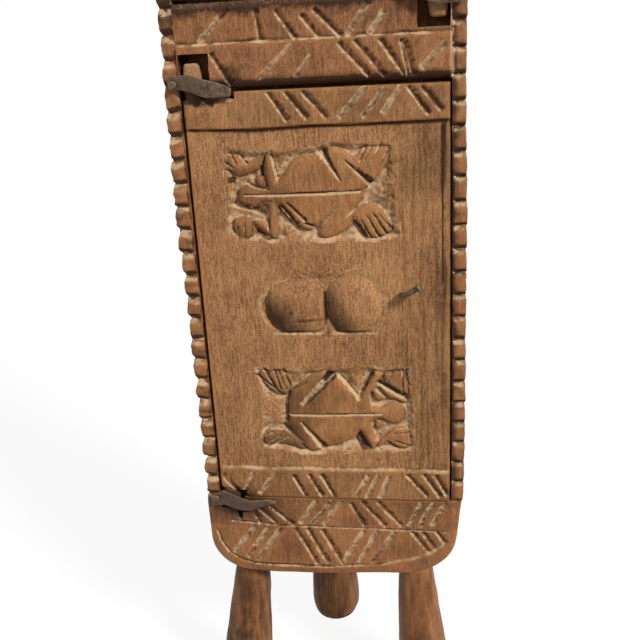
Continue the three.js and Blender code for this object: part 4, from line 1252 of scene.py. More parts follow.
LOWER_FROG = {
    "middle": (4.0, DOOR_MIDDLE - 85.0), "darker": 0.26,
    "panel": [(-59, -30), (-22, -36), (20, -33), (61.5, -31), (61, 3), (58.5, 38), (20, 38),
              (-30, 37), (-60, 37), (-56, 19)],
    "lobes": [
        (1.0, [(-38, -0.3), (-37.5, 9.1), (-35.4, 18.4), (-19, 31.5), (-11.1, 35.6), (-6, 35.2),
               (-4, 32), (2, 33.5), (5.2, 32), (20.4, 12), (22, 15.9), (30, 35.6), (33.3, 38),
               (41, 34.5), (36.3, 26.6), (33.3, 21.1), (30, 17), (29.1, 10.8), (31.1, 6.2),
               (37.1, 5.8), (40.5, 8.2), (47.1, 10.8), (54.4, 7.2), (57, 0.9), (54.2, -6.8),
               (46.6, -10.5), (40.1, -8), (36.4, -5.1), (29.5, -6.7), (30, -15.1), (33.1, -21.4),
               (34, -25.6), (31.2, -32), (28, -32), (20, -15.3), (15.9, -21.7), (11, -24.8),
               (-0.8, -29), (-9.6, -31), (-14.6, -34), (-23.4, -34.3), (-36.9, -13),
               (-38.4, -9.3)]),
        (0.85, [(33.8, 24), (36.3, 27.6), (44.5, 21.1), (53.6, 15.4), (58.5, 10.6), (54.9, 7.5),
                (47.1, 11), (41.5, 12.4)]),
        (0.9, [(39.2, 35), (43.9, 36.2), (53.1, 38.7), (58.8, 33), (59, 12.8), (52.7, 14.9),
               (44.5, 20.3), (38.5, 26.2)]),
        (0.62, [(31.6, 17.4), (34.6, 17.6), (42.4, 11.5), (37.2, 9), (31.2, 10.0)]),
        (0.55, [(30.8, -9.4), (36.4, -6.2), (42.8, -9.7), (36.6, -13.8), (31.1, -15.5)]),
        (0.85, [(31.4, -26.2), (48.5, -10), (58.4, -11.1), (59.4, -20.9), (61, -29.4),
                (49, -32.1), (39.7, -26.5), (33.3, -31.9)]),
        (0.9, [(-60, 32), (-57, 37.7), (-48.2, 36.8), (-40.5, 36.8), (-33, 34.3), (-31, 25.7),
               (-34, 16.4), (-40.5, 13.6), (-51.8, 19.8)]),
        (0.62, [(-60.3, -23), (-56, -15.9), (-43, -15), (-33.5, -20.5), (-25, -26.3),
                (-22, -34.2), (-31.2, -33.2), (-37.9, -29.6), (-47.7, -28.1), (-53.8, -31),
                (-60, -28)]),
    ],
    "pockets": [
        [(15.2, -22.6), (20, -14.8), (28.7, -32.6), (21.3, -33)],
        [(-3, 36), (1.5, 33.2), (-7, 24), (-10, 28)],
    ],
    "cuts": [
        (2.2, 32.6, -24.6, 5.7, 7.4, 6.0, 0.66, 0.5, 1.1),
        (4.0, 34.2, 20.8, 11.4, 4.0, 3.4, 0.35, 0.6, 0.3),
        (31.0, 37.2, 20.2, 14.2, 6.8, 2.8, 0.5, 0.1, 0.95),
        (33.8, 25.7, 58.4, 10.8, 5.4, 6.4, 0.72, 0.35, 1.2),
        (47.2, 34.6, 42.0, 25.6, 2.6, 2.4), (53.6, 38.6, 53.7, 16.4, 1.8, 1.6),
        (29.4, 18.0, 29.6, 6.2, 3.4, 3, 0.5, 0.1, 0.8),
        (29.0, 6.4, 43.4, 11.9, 2.6, 1.8, 0.5, 0.5, 0.2),
        (32.4, 21.3, 43.2, 12.3, 2.4, 2), (29.6, -8.2, 31.6, -17.0, 4, 3.2),
        (36.6, -5.2, 46.6, -10.4, 2, 2), (49.4, -9.2, 32.2, -24.2, 4.6, 4),
        (46.0, -17.8, 58.8, -16.7, 2.2, 2), (46.9, -23.8, 61.0, -29.2, 2.4, 2.4),
        (40.2, -24.6, 50.2, -32.0, 3, 4), (48.0, -13.8, 58.4, -12.6, 2, 2),
        (-26.8, -8.2, -9.0, -31.0, 3.4, 8.0, 0.52, 0.6, 1.1),
        (-42.4, -11.6, -26.0, -26.0, 4.4, 3.0, 0.65, 0.3, 1.1),
        (-19.6, 26.6, -35.0, 19.2, 1.8, 2.8, 0.5, 0.2, 0.8),
        (-34.8, 18.4, -38.0, 7, 3.4, 4.6, 0.5, 0.05, 1.1),
        (-37.6, 7.6, -38.4, -9, 4.6, 5.0, 0.5, 0.05, 1.1), (-54.3, 37.8, -44.3, 18.9, 4, 2.4),
        (-46.4, 37, -40.7, 19.6, 3.2, 2), (-42.8, 35.7, -36.0, 18.8, 2.4, 1.8),
        (-38.6, 37, -33.4, 21.6, 3.8, 2.6), (-60.4, 32.6, -39.2, 14.2, 3, 3),
        (-49.6, -18.2, -57.4, -21.2, 2.4, 2.2), (-44.0, -21.4, -55.6, -27.8, 2.2, 2.2),
        (-37.0, -22.2, -48.4, -28.4, 2.2, 2.4),
    ],
    "spine": [(-36.4, -1.4, -7.2, -1.5, 2.8, 3.4), (-7.2, -1.5, 37.6, 0.1, 3.4, 3.2)],
}
GROUND_DROP = 3.4
# Each dome: its highest place, its reaches from there to the left, the right, down and up, and
# where it starts and ends across the door.
DOMES = [
    ((-15.0, 4.0), (30.7, 19.5, 27.0, 20.3), (-45.7, 0.8)),
    ((24.0, 6.0), (23.2, 20.5, 29.0, 23.4), (0.8, 44.6)),
]
DOME_FLAT = -17.6
DOME_RISE = 6.8
# The knife lines that slipped past each panel.
FIELD_MARKS = [
    [(-59.3, 42.6, -59.5, 30, 1.5, 1.2), (-64.4, 38, -65.8, 15.5, 1.6, 1.4),
     (-65.6, 8, -66.6, -28, 1.4, 1.4), (55.1, 25, 52.7, 13, 1.4, 1.2),
     (59.0, -8, 61.4, -32, 1.8, 2.0), (-30, 46, -25, 36, 1.2, 1.0)],
    [(-66.5, 35.2, -53.9, 36.2, 1.2, 1.6), (59, 37, 60.4, -29.3, 1.6, 1.6),
     (64.9, -6.2, 66.1, -27.1, 1.2, 1.2), (54.1, 46, 55.8, 36.2, 1.2, 1.4)],
]

KNIFE_LINES = [
    (-47.8, 264.5, -47.9, 248, 1.4, 1.4), (-38.6, 264.5, -38.8, 254, 1.4, 1.2),
    (-53.5, 218.5, -53.8, 206, 1.4, 1.2), (33, 206.5, 33.2, 199, 1.6, 1.4),
    (49.4, 266, 50.6, 245, 1.6, 1.4),
]
EDGE_LINE = [(88.6, 364, 88.2, 318, 2.2, 1.8), (88.2, 320, 88.4, 252, 1.5, 1.0)]
CRACKS = [(24.8, 284, 26.5, 269, 1.4, 1.0), (32.0, 283, 32.4, 267, 1.6, 1.0)]


def softened(corners):
    """An outline with its corners cut twice, as a knife leaves it."""
    points = np.asarray(corners, float)
    for _ in range(2):
        following = np.roll(points, -1, axis=0)
        points = np.stack([0.75 * points + 0.25 * following,
                           0.25 * points + 0.75 * following], 1).reshape(-1, 2)
    return points


def inside(x, z, outline):
    """How far inside a closed outline each point lies. Points outside it count below zero."""
    nearest = np.full(x.shape, 1e9)
    within = np.zeros(x.shape, bool)
    for (x0, z0), (x1, z1) in zip(outline, np.roll(outline, -1, axis=0)):
        run, rise = x1 - x0, z1 - z0
        t = np.clip(((x - x0) * run + (z - z0) * rise) / (run * run + rise * rise + 1e-9), 0, 1)
        nearest = np.minimum(nearest, (x - x0 - t * run) ** 2 + (z - z0 - t * rise) ** 2)
        if z0 != z1:
            within ^= ((z0 > z) != (z1 > z)) & (x < run * (z - z0) / rise + x0)
    return np.where(within, 1, -1) * np.sqrt(nearest)


def standing_in(x, z, lobes):
    """How far inside a figure's outlines each point lies, and how high it stands as a share."""
    nearest = np.full(x.shape, -99.0)
    rise = np.zeros(x.shape)
    for share, corners in lobes:
        within = inside(x, z, softened(corners))
        nearest = np.maximum(nearest, within)
        body = 1 - (1 - np.clip(within / 17, 0, 1)) ** 2
        edge = np.sqrt(1 - (1 - np.clip(within / 7, 0, 1)) ** 2)
        lobe = share * (0.2 * np.clip(within / 0.9, 0, 1) + 0.75 * edge + 0.35 * body)
        rise = np.maximum(rise, np.where(within > 0, lobe, 0))
    return nearest, rise


def figure_face(x, z, figure, seed):
    """How far a carved panel lies below the field, its pale earth with painted highlights, its
    painted shade and darker tone, and its polish.
    """
    shift = 1.2 * waver(x, z, 5, seed)
    wall = inside(x + shift, z + 1.2 * waver(x, z, 6, seed + 1), np.asarray(figure["panel"], float))
    nearest, rise = standing_in(x, z, figure["lobes"])
    away_from_light = standing_in(x + 1.2, z + 0.9, figure["lobes"])[0] - nearest
    pit = np.zeros(x.shape)
    for corners in figure["pockets"]:
        pit = np.maximum(pit, ease(inside(x, z, np.asarray(corners, float)) / 1.4 + 0.3))
    rise = rise * (1 - pit)
    close = 1 - 0.66 * ease((-nearest - 1) / 8)
    drop = GROUND_DROP * close * ease(wall / 6 + 0.2)
    chisel = np.abs(waver(x * 0.5 + z * 0.4, z * 0.6 - x * 0.3, 2.2, seed + 2)) - 0.4
    ground = drop + 0.8 * chisel * ease(wall / 3 + 1) + 0.8 * pit
    cut, earth_and_highlight, dark = gouged(x, z, figure["cuts"], 2.4, seed + 4, taper=1.6, shade=1.1)
    spine, _, over = gouged(x, z, figure["spine"], 2.2, seed + 6, upper=0.36, taper=0.8, shade=1.2)
    lumps = 0.3 * waver(x, z, 8, seed + 8) + 0.14 * waver(x, z, 3.4, seed + 9)
    standing = GROUND_DROP * (1 - rise) + lumps * (rise > 0)
    depth = np.where(rise > 0, np.minimum(np.maximum(standing, -0.5), drop + 0.2), ground)
    depth = depth + np.minimum(1.7 * cut, 4.6 - np.clip(depth, 0, 4)) + 0.8 * spine
    beside = ridge(nearest + 1.6, 3.2)
    low = ease(wall / 4 + 0.9) * (rise < 0.3)
    dust_and_highlight = low * (0.2 + 0.28 * beside + 0.26 * waver(x, z, 2.4, seed + 10)
                  + 0.24 * waver(x, z, 9, seed + 11))
    dust_and_highlight = np.maximum(dust_and_highlight, 0.95 * earth_and_highlight * ease(cut / 0.4))
    # The spine's pale lower wall is earth and a painted highlight; the wall above it is painted
    # shade.
    dust_and_highlight = np.maximum(dust_and_highlight * (1 - 0.8 * pit), 0.85 * ease(spine / 0.5) * (1 - ease(over / 0.5)))
    # Painted shade in the cuts and above the spine, on edges away from the light, and in the
    # pockets.
    shade = np.maximum(dark * ease(cut / 0.5), over * ease(spine / 0.3))
    painted_shade = 0.5 * ease(away_from_light / 1.4) * ease((6 - nearest) / 5) * (rise > 0)
    handled = (0.14 + 0.2 * waver(x, z, 12, seed + 12) + figure["darker"] * ease((-x - 8) / 22))
    shade = np.maximum(np.maximum(shade, handled * (rise > 0)), np.maximum(painted_shade, 0.7 * pit))
    return depth, dust_and_highlight, shade, 0.6 * ease((rise - 0.45) / 0.3)


def dome_face(x, z, seed):
    """Height of the two domes, whose lower sides are cut off flat, the marks round them, and their
    painted shade: darker to the lower left, lighter where they rise, and in the ledge and crease.
    """
    rise = np.zeros(x.shape)
    outline = np.full(x.shape, 9.0)
    shade = np.zeros(x.shape)
    for (cx, cz), (left, right, down, up), (first, last) in DOMES:
        across = (x - cx) / np.where(x < cx, left, right)
        along = (z - cz) / np.where(z < cz, down, up)
        reach = np.sqrt(across**2 + along**2)
        dome = np.clip(1 - reach**2.1, 0, 1) ** 0.8
        dome = dome * ease((x - first) / 1.5) * ease((last - x) / 1.5)
        rise = np.maximum(rise, dome)
        outline = np.minimum(outline, reach)
        # Painted shade on each dome's lower left, away from the light.
        painted_shade = 0.98 * ease(-0.75 * across - 0.6 * along + 0.12)
        painted_shade = (painted_shade + 0.1 * waver(x, z, 7, seed + 4)) * (dome > 0.02)
        shade = np.maximum(shade, painted_shade * (x > first) * (x < last) * (z > DOME_FLAT))
    rise = DOME_RISE * rise * ease((z - DOME_FLAT) / 1.8)
    on_ledge = ease((x + 23) / 5) * ease((1.2 - x) / 0.8)
    rise = rise - 1.1 * on_ledge * ease((-5.4 - z) / 2.2) * ease(rise / 1.5)
    # A painted shade line under the ledge, and painted shade in the crease between the domes.
    edge = ridge(z + 6.6 - 0.5 * drift(x, 4, seed + 5), 1.3)
    shade = np.maximum(shade, (0.4 + 0.3 * drift(x, 5, seed + 6)) * on_ledge * edge)
    shade = np.maximum(shade, 0.8 * ridge(x - 1.4, 0.9) * (z < 15) * (z > -15))
    for spot_x, spot_z, size in ((-24, -0.6, 1.4), (22, 1, 0.9), (-19, -4, 0.8)):
        shade = np.maximum(shade, np.exp(-((x - spot_x) ** 2 + (z - spot_z) ** 2) / size**2))
    facets = 0.4 * np.abs(waver(x, z, 11, seed)) * ease(rise / 3)
    ragged = 0.05 * waver(x, z, 2.6, seed + 2) + 0.04 * waver(x, z, 8, seed + 3)
    outer = np.sqrt(((x + 0.6) / 45.5) ** 2 + (np.where(z > 4, z - 4, 0.92 * (z - 4)) / 23.5) ** 2)
    dish = ease((1.12 + ragged - outer) / 0.22)
    under = ridge(z - DOME_FLAT + 1.3, 1.2) * ease((x + 37) / 3) * ease((38 - x) / 4)
    under = under * ease((np.abs(x - 1) - 2) / 2)
    halo = 0.52 * ridge(outline - 1.08 - ragged, 0.085) * (z > DOME_FLAT - 2)
    halo = np.maximum(halo, 0.8 * under) * (rise < 0.6)
    rough = 0.4 * np.abs(waver(x, z, 2.3, seed + 1))
    return rise - facets, halo, dish * (1.1 + rough), shade - 0.14 * ease(rise / 2)


def door_face(x, z, seed):
    """Depth of a door's carved face, and the pale earth and painted highlights, the soil and
    painted shade, and the polish on it.
    """
    bowed = 1.2 * ridge(x + 40, 34)
    top_step = BAND_TOP + 0.6 * drift(x, 25, seed) - bowed
    foot_step = BAND_BOTTOM + 0.5 * drift(x, 25, seed + 1)
    field = ease((top_step - z) / 1.2 + 0.5) * ease((z - foot_step) / 2.6 + 0.5)
    bands, dust_and_highlight, dark = carved_rows(
        x, z, [(TOP_STROKES, 5.4, 2.0), (FOOT_STROKES, 5.4, 2.0)], seed + 2)
    depth = FIELD_DEPTH * field + bands
    # Pale earth along the foot step, partly a highlight painted on its upward face.
    dusty = 0.34 + 0.2 * waver(x, z, 6, seed + 57) + 0.2 * waver(x, z, 2.4, seed + 59)
    dust_and_highlight = np.maximum(dust_and_highlight, dusty * ridge(z - foot_step - 0.6, 2.3))
    # A painted shadow on the field just under the top band's step.
    shadowy = 0.55 + 0.4 * drift(x, 26, seed + 70) + 0.4 * ridge(x + 35, 24)
    soil_and_shade = np.maximum(dark, shadowy * ridge(z - top_step + 1.1, 1.2))
    soil_and_shade = soil_and_shade + (0.25 + 0.14 * waver(x, z, 13, seed + 71)) * (1 - field)
    polish = 0.4 * (1 - field)
    for number, figure in enumerate((UPPER_FROG, LOWER_FROG)):
        u, v = x - figure["middle"][0], z - figure["middle"][1]
        near = (np.abs(u) < 78) & (np.abs(v) < 50)
        deep, earth_and_highlight, shade, shine = figure_face(u[near], v[near], figure, seed + 20 + 20 * number)
        depth[near] += deep
        dust_and_highlight[near] = np.maximum(dust_and_highlight[near], earth_and_highlight)
        soil_and_shade[near] = np.maximum(soil_and_shade[near], shade)
        polish[near] = np.maximum(polish[near], shine)
        marks, earth_and_highlight, _ = gouged(u, v, FIELD_MARKS[number], 1.5, seed + 64)
        depth = depth + 0.6 * marks
        dust_and_highlight = np.maximum(dust_and_highlight, 0.62 * earth_and_highlight)
    rise, halo, hollow, shade = dome_face(x, z - DOOR_MIDDLE, seed + 60)
    standing = ease(rise / 1.2)
    depth = depth + hollow * (1 - standing)
    depth = np.where(rise > 0, np.minimum(depth, FIELD_DEPTH + 1.6 - rise), depth)
    soil_and_shade = np.where(rise > 1, shade, np.maximum(soil_and_shade, shade)) - 1.3 * halo
    dust_and_highlight = np.maximum(dust_and_highlight, halo * (0.8 + 0.5 * waver(x, z, 3, seed + 58)))
    marks, earth_and_highlight, _ = gouged(x, z, KNIFE_LINES, 1.5, seed + 66)
    depth = depth + 0.5 * marks
    dust_and_highlight = np.maximum(dust_and_highlight, 0.5 * earth_and_highlight)
    cracks = gouged(x, z, CRACKS, 1.4, seed + 68)[0]
    fibrous = ease((x - 52) / 15) * np.clip(waver(x, z / 15, 2.2, seed + 83), 0, 1) * field
    soil_and_shade = soil_and_shade + 0.6 * ease(cracks / 0.25) + (0.22 * ease((x - 35) / 50) + 0.4 * fibrous) * field
    soil_and_shade = soil_and_shade + 0.15 * waver(x, z / 1.8, 27, seed + 84) * field
    incised = gouged(x, z, EDGE_LINE, 1.8, seed + 62)[0]
    beyond = ease((x - 87.6) / 0.8) * ease((91.5 - x) / 2) * ease((z - 312) / 12)
    soil_and_shade = soil_and_shade + 0.9 * ease(incised / 0.3) + 0.4 * beyond * (z < top_step)
    worn = 3.0 * spot(x + 72, 16, z - 391, 8)
    plain = 0.25 * waver(x, z, 43, seed + 54) + 0.06 * waver(x, z / 22, 1.7, seed + 55)
    plain = plain + 0.12 * waver(x, z, 7, seed + 56)
    depth = depth + 0.3 + plain * (1 - standing) + incised + worn
    return depth, dust_and_highlight, soil_and_shade, polish


def spaced(stops, steps):
    """Places along a line from stop to stop, each stretch with its own step."""
    stretches = [
        np.linspace(first, last, round((last - first) / step) + 1)[:-1]
        for first, last, step in zip(stops, stops[1:], steps)
    ]
    return np.concatenate([*stretches, stops[-1:]])


def door_board(name, seed):
    """The board without its pegs: every row is a ring round the board, dense across its face."""
    face_x = spaced([-DOOR_HALF, -70, 68, 86, DOOR_HALF], [1.3, 0.75, 1.1, 0.8])
    face_z = spaced([DOOR_FOOT, BAND_BOTTOM + 3, 108, 186, 205, 262, 281, 356, 365, DOOR_HEAD],
                    [0.85, 1.4, 0.75, 1.8, 1.0, 1.8, 0.75, 1.5, 0.85])
    x, z = np.meshgrid(face_x, face_z)
    depth = door_face(x, z, seed)[0]
    to_hinge = np.clip(1 - (x + DOOR_HALF) / HINGE_ROUND, 0, 1)
    to_free = np.clip(1 - (DOOR_HALF - x) / FREE_ROUND, 0, 1)
    to_end = np.clip(1 - np.minimum(z - DOOR_FOOT, DOOR_HEAD - z) / END_ROUND, 0, 1)
    rounding = np.maximum(HINGE_ROUND * (1 - np.sqrt(1 - to_hinge**2)), 2.4 * to_free**2)
    rounding = np.maximum(rounding, 1.5 * to_end**2)
    depth = np.where(rounding > 0, np.maximum(depth, 0.3 + rounding), depth)
    arc = np.linspace(np.pi / 2, np.pi, 8)
    behind = np.concatenate([
        [[DOOR_HALF, 6], [DOOR_HALF, 11], [DOOR_HALF - 0.3, DOOR_THICK - 0.6],
         [DOOR_HALF - 1, DOOR_THICK]],
        np.stack([np.linspace(DOOR_HALF - 10, PIVOT + PEG_BACK, BACK_STEPS),
                  np.full(BACK_STEPS, DOOR_THICK)], 1),
        np.stack([PIVOT + PEG_BACK * np.cos(arc), PEG_BACK + PEG_BACK * np.sin(arc)], 1),
    ])
    flat_back = slice(4, 4 + BACK_STEPS)
    rings = []
    for height, across_face in zip(face_z, depth):
        back = behind.copy()
        back[flat_back, 1] += 0.4 * waver(back[flat_back, 0], height, 9, seed + 60) - 0.4
        ring = np.concatenate([np.stack([face_x, across_face], 1), back])
        rings.append(at_height(ring, height))
    return loft(name, rings)


def peg(z_root, z_tip, seed):
    """A whittled peg on the hinge line, thinner and rounded at its tip."""
    rings = []
    angles = full_turn(36)
    up = 1 if z_tip > z_root else -1
    for share in np.concatenate([np.linspace(0, 0.93, 26), [0.96, 0.98, 0.995, 1.0]]):
        z = z_root + share * (z_tip - z_root)
        from_tip = abs(z_tip - z)
        radius = PEG_RADIUS - 2.0 * np.clip(1 - from_tip / PEG_TAPER, 0, 1)
        blunt = np.clip(1 - from_tip / PEG_ROUND, 0, 1)
        radius -= PEG_ROUND * (1 - math.sqrt(1 - blunt**2))
        square = (np.cos(angles) ** 4 + np.sin(angles) ** 4) ** -0.25
        square = 1 + (square - 1) * np.clip(1.3 - from_tip / PEG_TAPER, 0, 1)
        r = square * radius - 0.5 * np.abs(waver(angles * 6, z / 4, 5, seed))
        rings.append(at_height(np.stack([
            PIVOT + r * np.cos(angles), PEG_BACK + r * np.sin(angles),
        ], 1), z))
    return loft("peg", rings[::up])


def prism(name, corners, y0, y1):
    """A block cut through from front to back, with the given corners in the front's plane."""
    outline = np.asarray(corners, float)
    rings = [np.column_stack([outline[:, 0], np.full(len(outline), y), outline[:, 1]])
             for y in (y1, y0)]
    return loft(name, rings)


DOOR_TONES = (194, 144, 94), (155, 108, 68), (90, 57, 33)
door_wood = wood_material("door_wood", DOOR_TONES)


def door_weather(local, normal, seed, turned):
    """Earth and soil on a door: earth in its carving, a painted shadow under the head strap, soil
    at the foot peg, and a plain back.
    """
    x, y, z = local.T
    if turned:
        x, z = -x, BOX_HEIGHT - z
    front = (y < 9) & (normal[:, 1] < 0.35)
    dust_and_highlight, soil_and_shade, polish = np.where(front, door_face(x, z, seed)[1:], 0)
    # A painted shadow of the head strap falls on the worn corner under it.
    ragged = 3.0 * drift(x, 6, seed + 80) + 1.5 * drift(x, 2.4, seed + 81)
    soil_and_shade = soil_and_shade + 0.8 * ease((z - 384 - ragged) / 2) * ease((-58 - x) / 3) * front * (z < 394)
    soil_and_shade = soil_and_shade + 0.7 * spot(x + 82, 22, z - 72, 7)
    fresh = spot(x + 60, 4.5, z - 386.6, 1.2) * front
    dust_and_highlight = np.maximum(dust_and_highlight, 0.7 * fresh)
    dust_and_highlight = np.maximum(dust_and_highlight, 0.36 * ease((z - 397) / 6))
    behind = y > 12
    dust_and_highlight = np.maximum(dust_and_highlight, 0.1 * front)
    return dust_and_highlight * (x > -91), np.where(behind, -0.35, soil_and_shade), np.where(behind, -0.6, polish)


# What is cut off each board's corners at its pegs, from how far back, and its corners in x and z.
# The inner cuts let the board swing clear of the straps.
CUT_BACK = 20
CORNER_CUTS = {
    "head_corner": (-9, [(-99, 387.8), (-55.6, 387.8), (-55.6, 396), (-99, 396)]),
    "head_inner": (2.5, [(-99, 387.8), (-54.5, 387.8), (-54.5, 396), (-99, 396)]),
    "foot_corner": (-9, [(-99, 66), (-63.6, 66), (-63.8, 71.0), (-67.6, 71.6), (-69.7, 72.6),
                         (-71.7, 74.2), (-72.6, 77.0), (-77, 77.5), (-82, 78.0), (-86, 79.2),
                         (-99, 80.4)]),
    "foot_inner": (1.6, [(-99, 66), (-71.2, 66), (-71.2, 78.9), (-86, 79.2), (-99, 80.4)]),
}
for name, seed, turned in (("lower_door", 300, False), ("upper_door", 500, True)):
    board = door_board(name + "_carving", seed)
    board = combined(board, "DIFFERENCE", [
        prism(cut, corners, start, CUT_BACK) for cut, (start, corners) in CORNER_CUTS.items()
    ])
    board = combined(board, "UNION", [
        peg(372, DOOR_HEAD + PEG_OVER, seed + 70), peg(90, DOOR_FOOT - PEG_UNDER, seed + 71),
    ])
    if turned:
        board.data.transform(half_turn())
    weathered(board, lambda local, normal: door_weather(local, normal, seed, turned))
    coated(board, door_wood)
    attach(board, name)
    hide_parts(name)


# Straps: small plates of forged iron, each nailed at one end and held at the other by a spur
# driven into the wood. They bow out over the notches and keep the doors' pegs in.
STRAP_LEFT = -101.75
STRAP_SEAT = 0.3
STRAP_BOW = 2.6
STRAP_THICK = 2.2
BOW_START, BOW_END = 0.17, 0.92
STRAP_SIDES = 36
SPUR_HALF = (2.0, 1.4)
SPUR_DEPTH = 12
# The outline of each runs along its lower and its upper edge, in shares of its length and height.
STRAPS = {
    "head_strap": {
        "length": 45.0, "height": 16.2, "bottom": 389.0, "spur": (0.74, 0.55),
        "lower": [(0, 0.51), (0.37, 0.26), (0.6, 0.0), (0.98, 0.02), (1, 0.26)],
        "upper": [(0, 0.94), (0.01, 0.96), (0.37, 1), (0.53, 0.85), (0.75, 0.66), (0.92, 0.48),
                  (1, 0.36)],
    },
    "foot_strap": {
        "length": 54.5, "height": 17.2, "bottom": 60.4, "spur": (0.8, 0.36),
        "lower": [(0, 0.5), (0.01, 0.14), (0.2, 0.2), (0.41, 0.03), (0.6, 0), (0.82, 0.2),
                  (1, 0.36)],
        "upper": [(0, 0.66), (0.2, 1), (0.32, 0.84), (0.46, 0.68), (0.61, 0.54), (0.87, 0.54),
                  (1, 0.44)],
    },
}


def tube(name, centres, sections):
    """A solid round a line of centres, with one closed section, in two directions, at each."""
    centres = np.asarray(centres, float)
    ahead = np.gradient(centres, axis=0)
    ahead /= np.linalg.norm(ahead, axis=1, keepdims=True)
    first = np.cross(ahead, (0.1, 0.2, 1.0))
    first /= np.linalg.norm(first, axis=1, keepdims=True)
    second = np.cross(ahead, first)
    rings = [
        centre + section[:, :1] * one + section[:, 1:] * two
        for centre, one, two, section in zip(centres, first, second, sections)
    ]
    return loft(name, rings)


IRON_TONES = {
    "dark": (50, 38, 29), "light": (92, 71, 53), "rust": (112, 84, 60), "grit": (62, 44, 32),
    "rubbed": (126, 102, 78), "earth_and_highlight": (188, 156, 120), "soil_and_shade": (62, 46, 33),
}


def iron_material():
    """Iron left dark from the forge: rust in its hollows, pale earth on it, edges rubbed bright."""
    iron = {name: colour(*tone) for name, tone in IRON_TONES.items()}
    material = bpy.data.materials.new("forged_iron")
    material.use_nodes = True
    tree = material.node_tree
    tree.nodes.clear()
    place = add(tree, "ShaderNodeTexCoord").outputs["Object"]
    patch = noise_at(tree, place, 170.0, 4.0, 0.62)
    grit = noise_at(tree, place, 1100.0, 3.0, 0.6)
    scale_marks = add(tree, "ShaderNodeTexVoronoi", {"Vector": place, "Scale": 420.0})
    stain = noise_at(tree, place, 520.0, 3.0, 0.65)
    levels = levels_on(tree)
    shade = blend(tree, spread(tree, patch, 0.36, 0.62), iron["dark"], iron["light"])
    rusty = times(tree, spread(tree, stain, 0.46, 0.62), 0.7)
    shade = blend(tree, rusty, shade, iron["rust"])
    gritty = times(tree, spread(tree, grit, 0.5, 0.66), 0.6)
    shade = blend(tree, gritty, shade, iron["grit"])
    shade = blend(tree, times(tree, levels["polish"], 0.5), shade, iron["rubbed"])
    dusty = spread(tree, plus(tree, levels["dust_and_highlight"], times(tree, grit, 0.8)), 0.62, 0.98)
    shade = blend(tree, times(tree, dusty, 0.6), shade, iron["earth_and_highlight"])
    # Soil, with the shade painted into the hollows, darkens the iron.
    soiled = spread(tree, plus(tree, levels["soil_and_shade"], times(tree, patch, 0.8)), 0.4, 1.3)
    shade = blend(tree, times(tree, soiled, 0.45), shade, iron["soil_and_shade"])
    rubbed = plus(tree, times(tree, levels["polish"], -0.12), 0.46)
    rough = plus(tree, times(tree, patch, 0.3), rubbed)
    pitted = plus(tree, times(tree, grit, 0.5), times(
        tree, scale_marks.outputs["Distance"], 0.9))
    bump = add(tree, "ShaderNodeBump", {"Strength": 0.7, "Distance": 0.0005, "Height": pitted})
    shader = add(tree, "ShaderNodeBsdfPrincipled", {
        "Base Color": shade, "Roughness": rough, "Metallic": 0.3, "Normal": bump.outputs[0],
    })
    add(tree, "ShaderNodeOutputMaterial", {"Surface": shader.outputs[0]})
    return material


forged_iron = iron_material()


def strap_back(share):
    """How far back a strap's rear face lies, at a share of its length."""
    across = np.clip((share - BOW_START) / (BOW_END - BOW_START), 0, 1)
    return -STRAP_SEAT - STRAP_BOW * np.sin(np.pi * across) ** 2


def strap(name, kind, seed):
    """A forged plate with its spur."""
    rings = []
    turn = full_turn(STRAP_SIDES)
    for u in np.concatenate([[0, 0.006, 0.015], np.linspace(0.03, 0.97, 80), [0.985, 0.994, 1]]):
        lower = kind["bottom"] + kind["height"] * np.interp(u, *zip(*kind["lower"]))
        upper = kind["bottom"] + kind["height"] * np.interp(u, *zip(*kind["upper"]))
        x = STRAP_LEFT + u * kind["length"]
        end = np.clip(min(u, 1 - u) / 0.02, 0, 1)
        thick = STRAP_THICK * (0.45 + 0.55 * math.sqrt(1 - (1 - end) ** 2))
        thick *= 0.94 + 0.06 * float(waver(x, 0, 7, seed))
        height = (upper - lower) / 2 * (1 + 0.03 * float(waver(x, 9, 5, seed + 1)))
        middle_y = strap_back(u) - STRAP_THICK / 2
        z = (upper + lower) / 2 + height * np.sign(np.sin(turn)) * np.abs(np.sin(turn)) ** 0.6
        y = middle_y + thick / 2 * np.sign(np.cos(turn)) * np.abs(np.cos(turn)) ** 0.42
        hammered = 0.3 * np.abs(waver(x, z, 5.5, seed + 2))
        y = np.where(np.cos(turn) < -0.1, y + hammered, y)
        rings.append(np.column_stack([np.full(STRAP_SIDES, x), y, z]))
    plate = loft(name, rings)
    x = STRAP_LEFT + kind["spur"][0] * kind["length"]
    z = kind["bottom"] + kind["spur"][1] * kind["height"]
    y0 = float(strap_back(kind["spur"][0])) - STRAP_THICK / 2
    rings = []
    for share in np.linspace(0, 1, 12):
        half = np.array(SPUR_HALF) * (1 - 0.75 * share**2)
        rings.append([[x + sx * half[0], y0 + share * (SPUR_DEPTH - y0), z + sz * half[1]]
                      for sx, sz in ((-1, -1), (1, -1), (1, 1), (-1, 1))])
    return combined(plate, "UNION", [loft("spur", rings[::-1])])


def iron_weather(local, normal):
    """Soil lies thicker on the straps nearest to the floor and the top, where hands don't reach."""
    from_end = np.minimum(local[:, 2], BOX_HEIGHT - local[:, 2])
    lowest = ease((100 - from_end) / 20)
    ends = np.clip((np.abs(np.abs(local[:, 0]) - 76) - 18) / 8, 0, 1)
    dust_and_highlight = 0.2 * np.clip(normal[:, 2], 0, 1) + 0.4 * lowest * ends
    return dust_and_highlight, 0.8 * lowest, np.zeros(len(local))


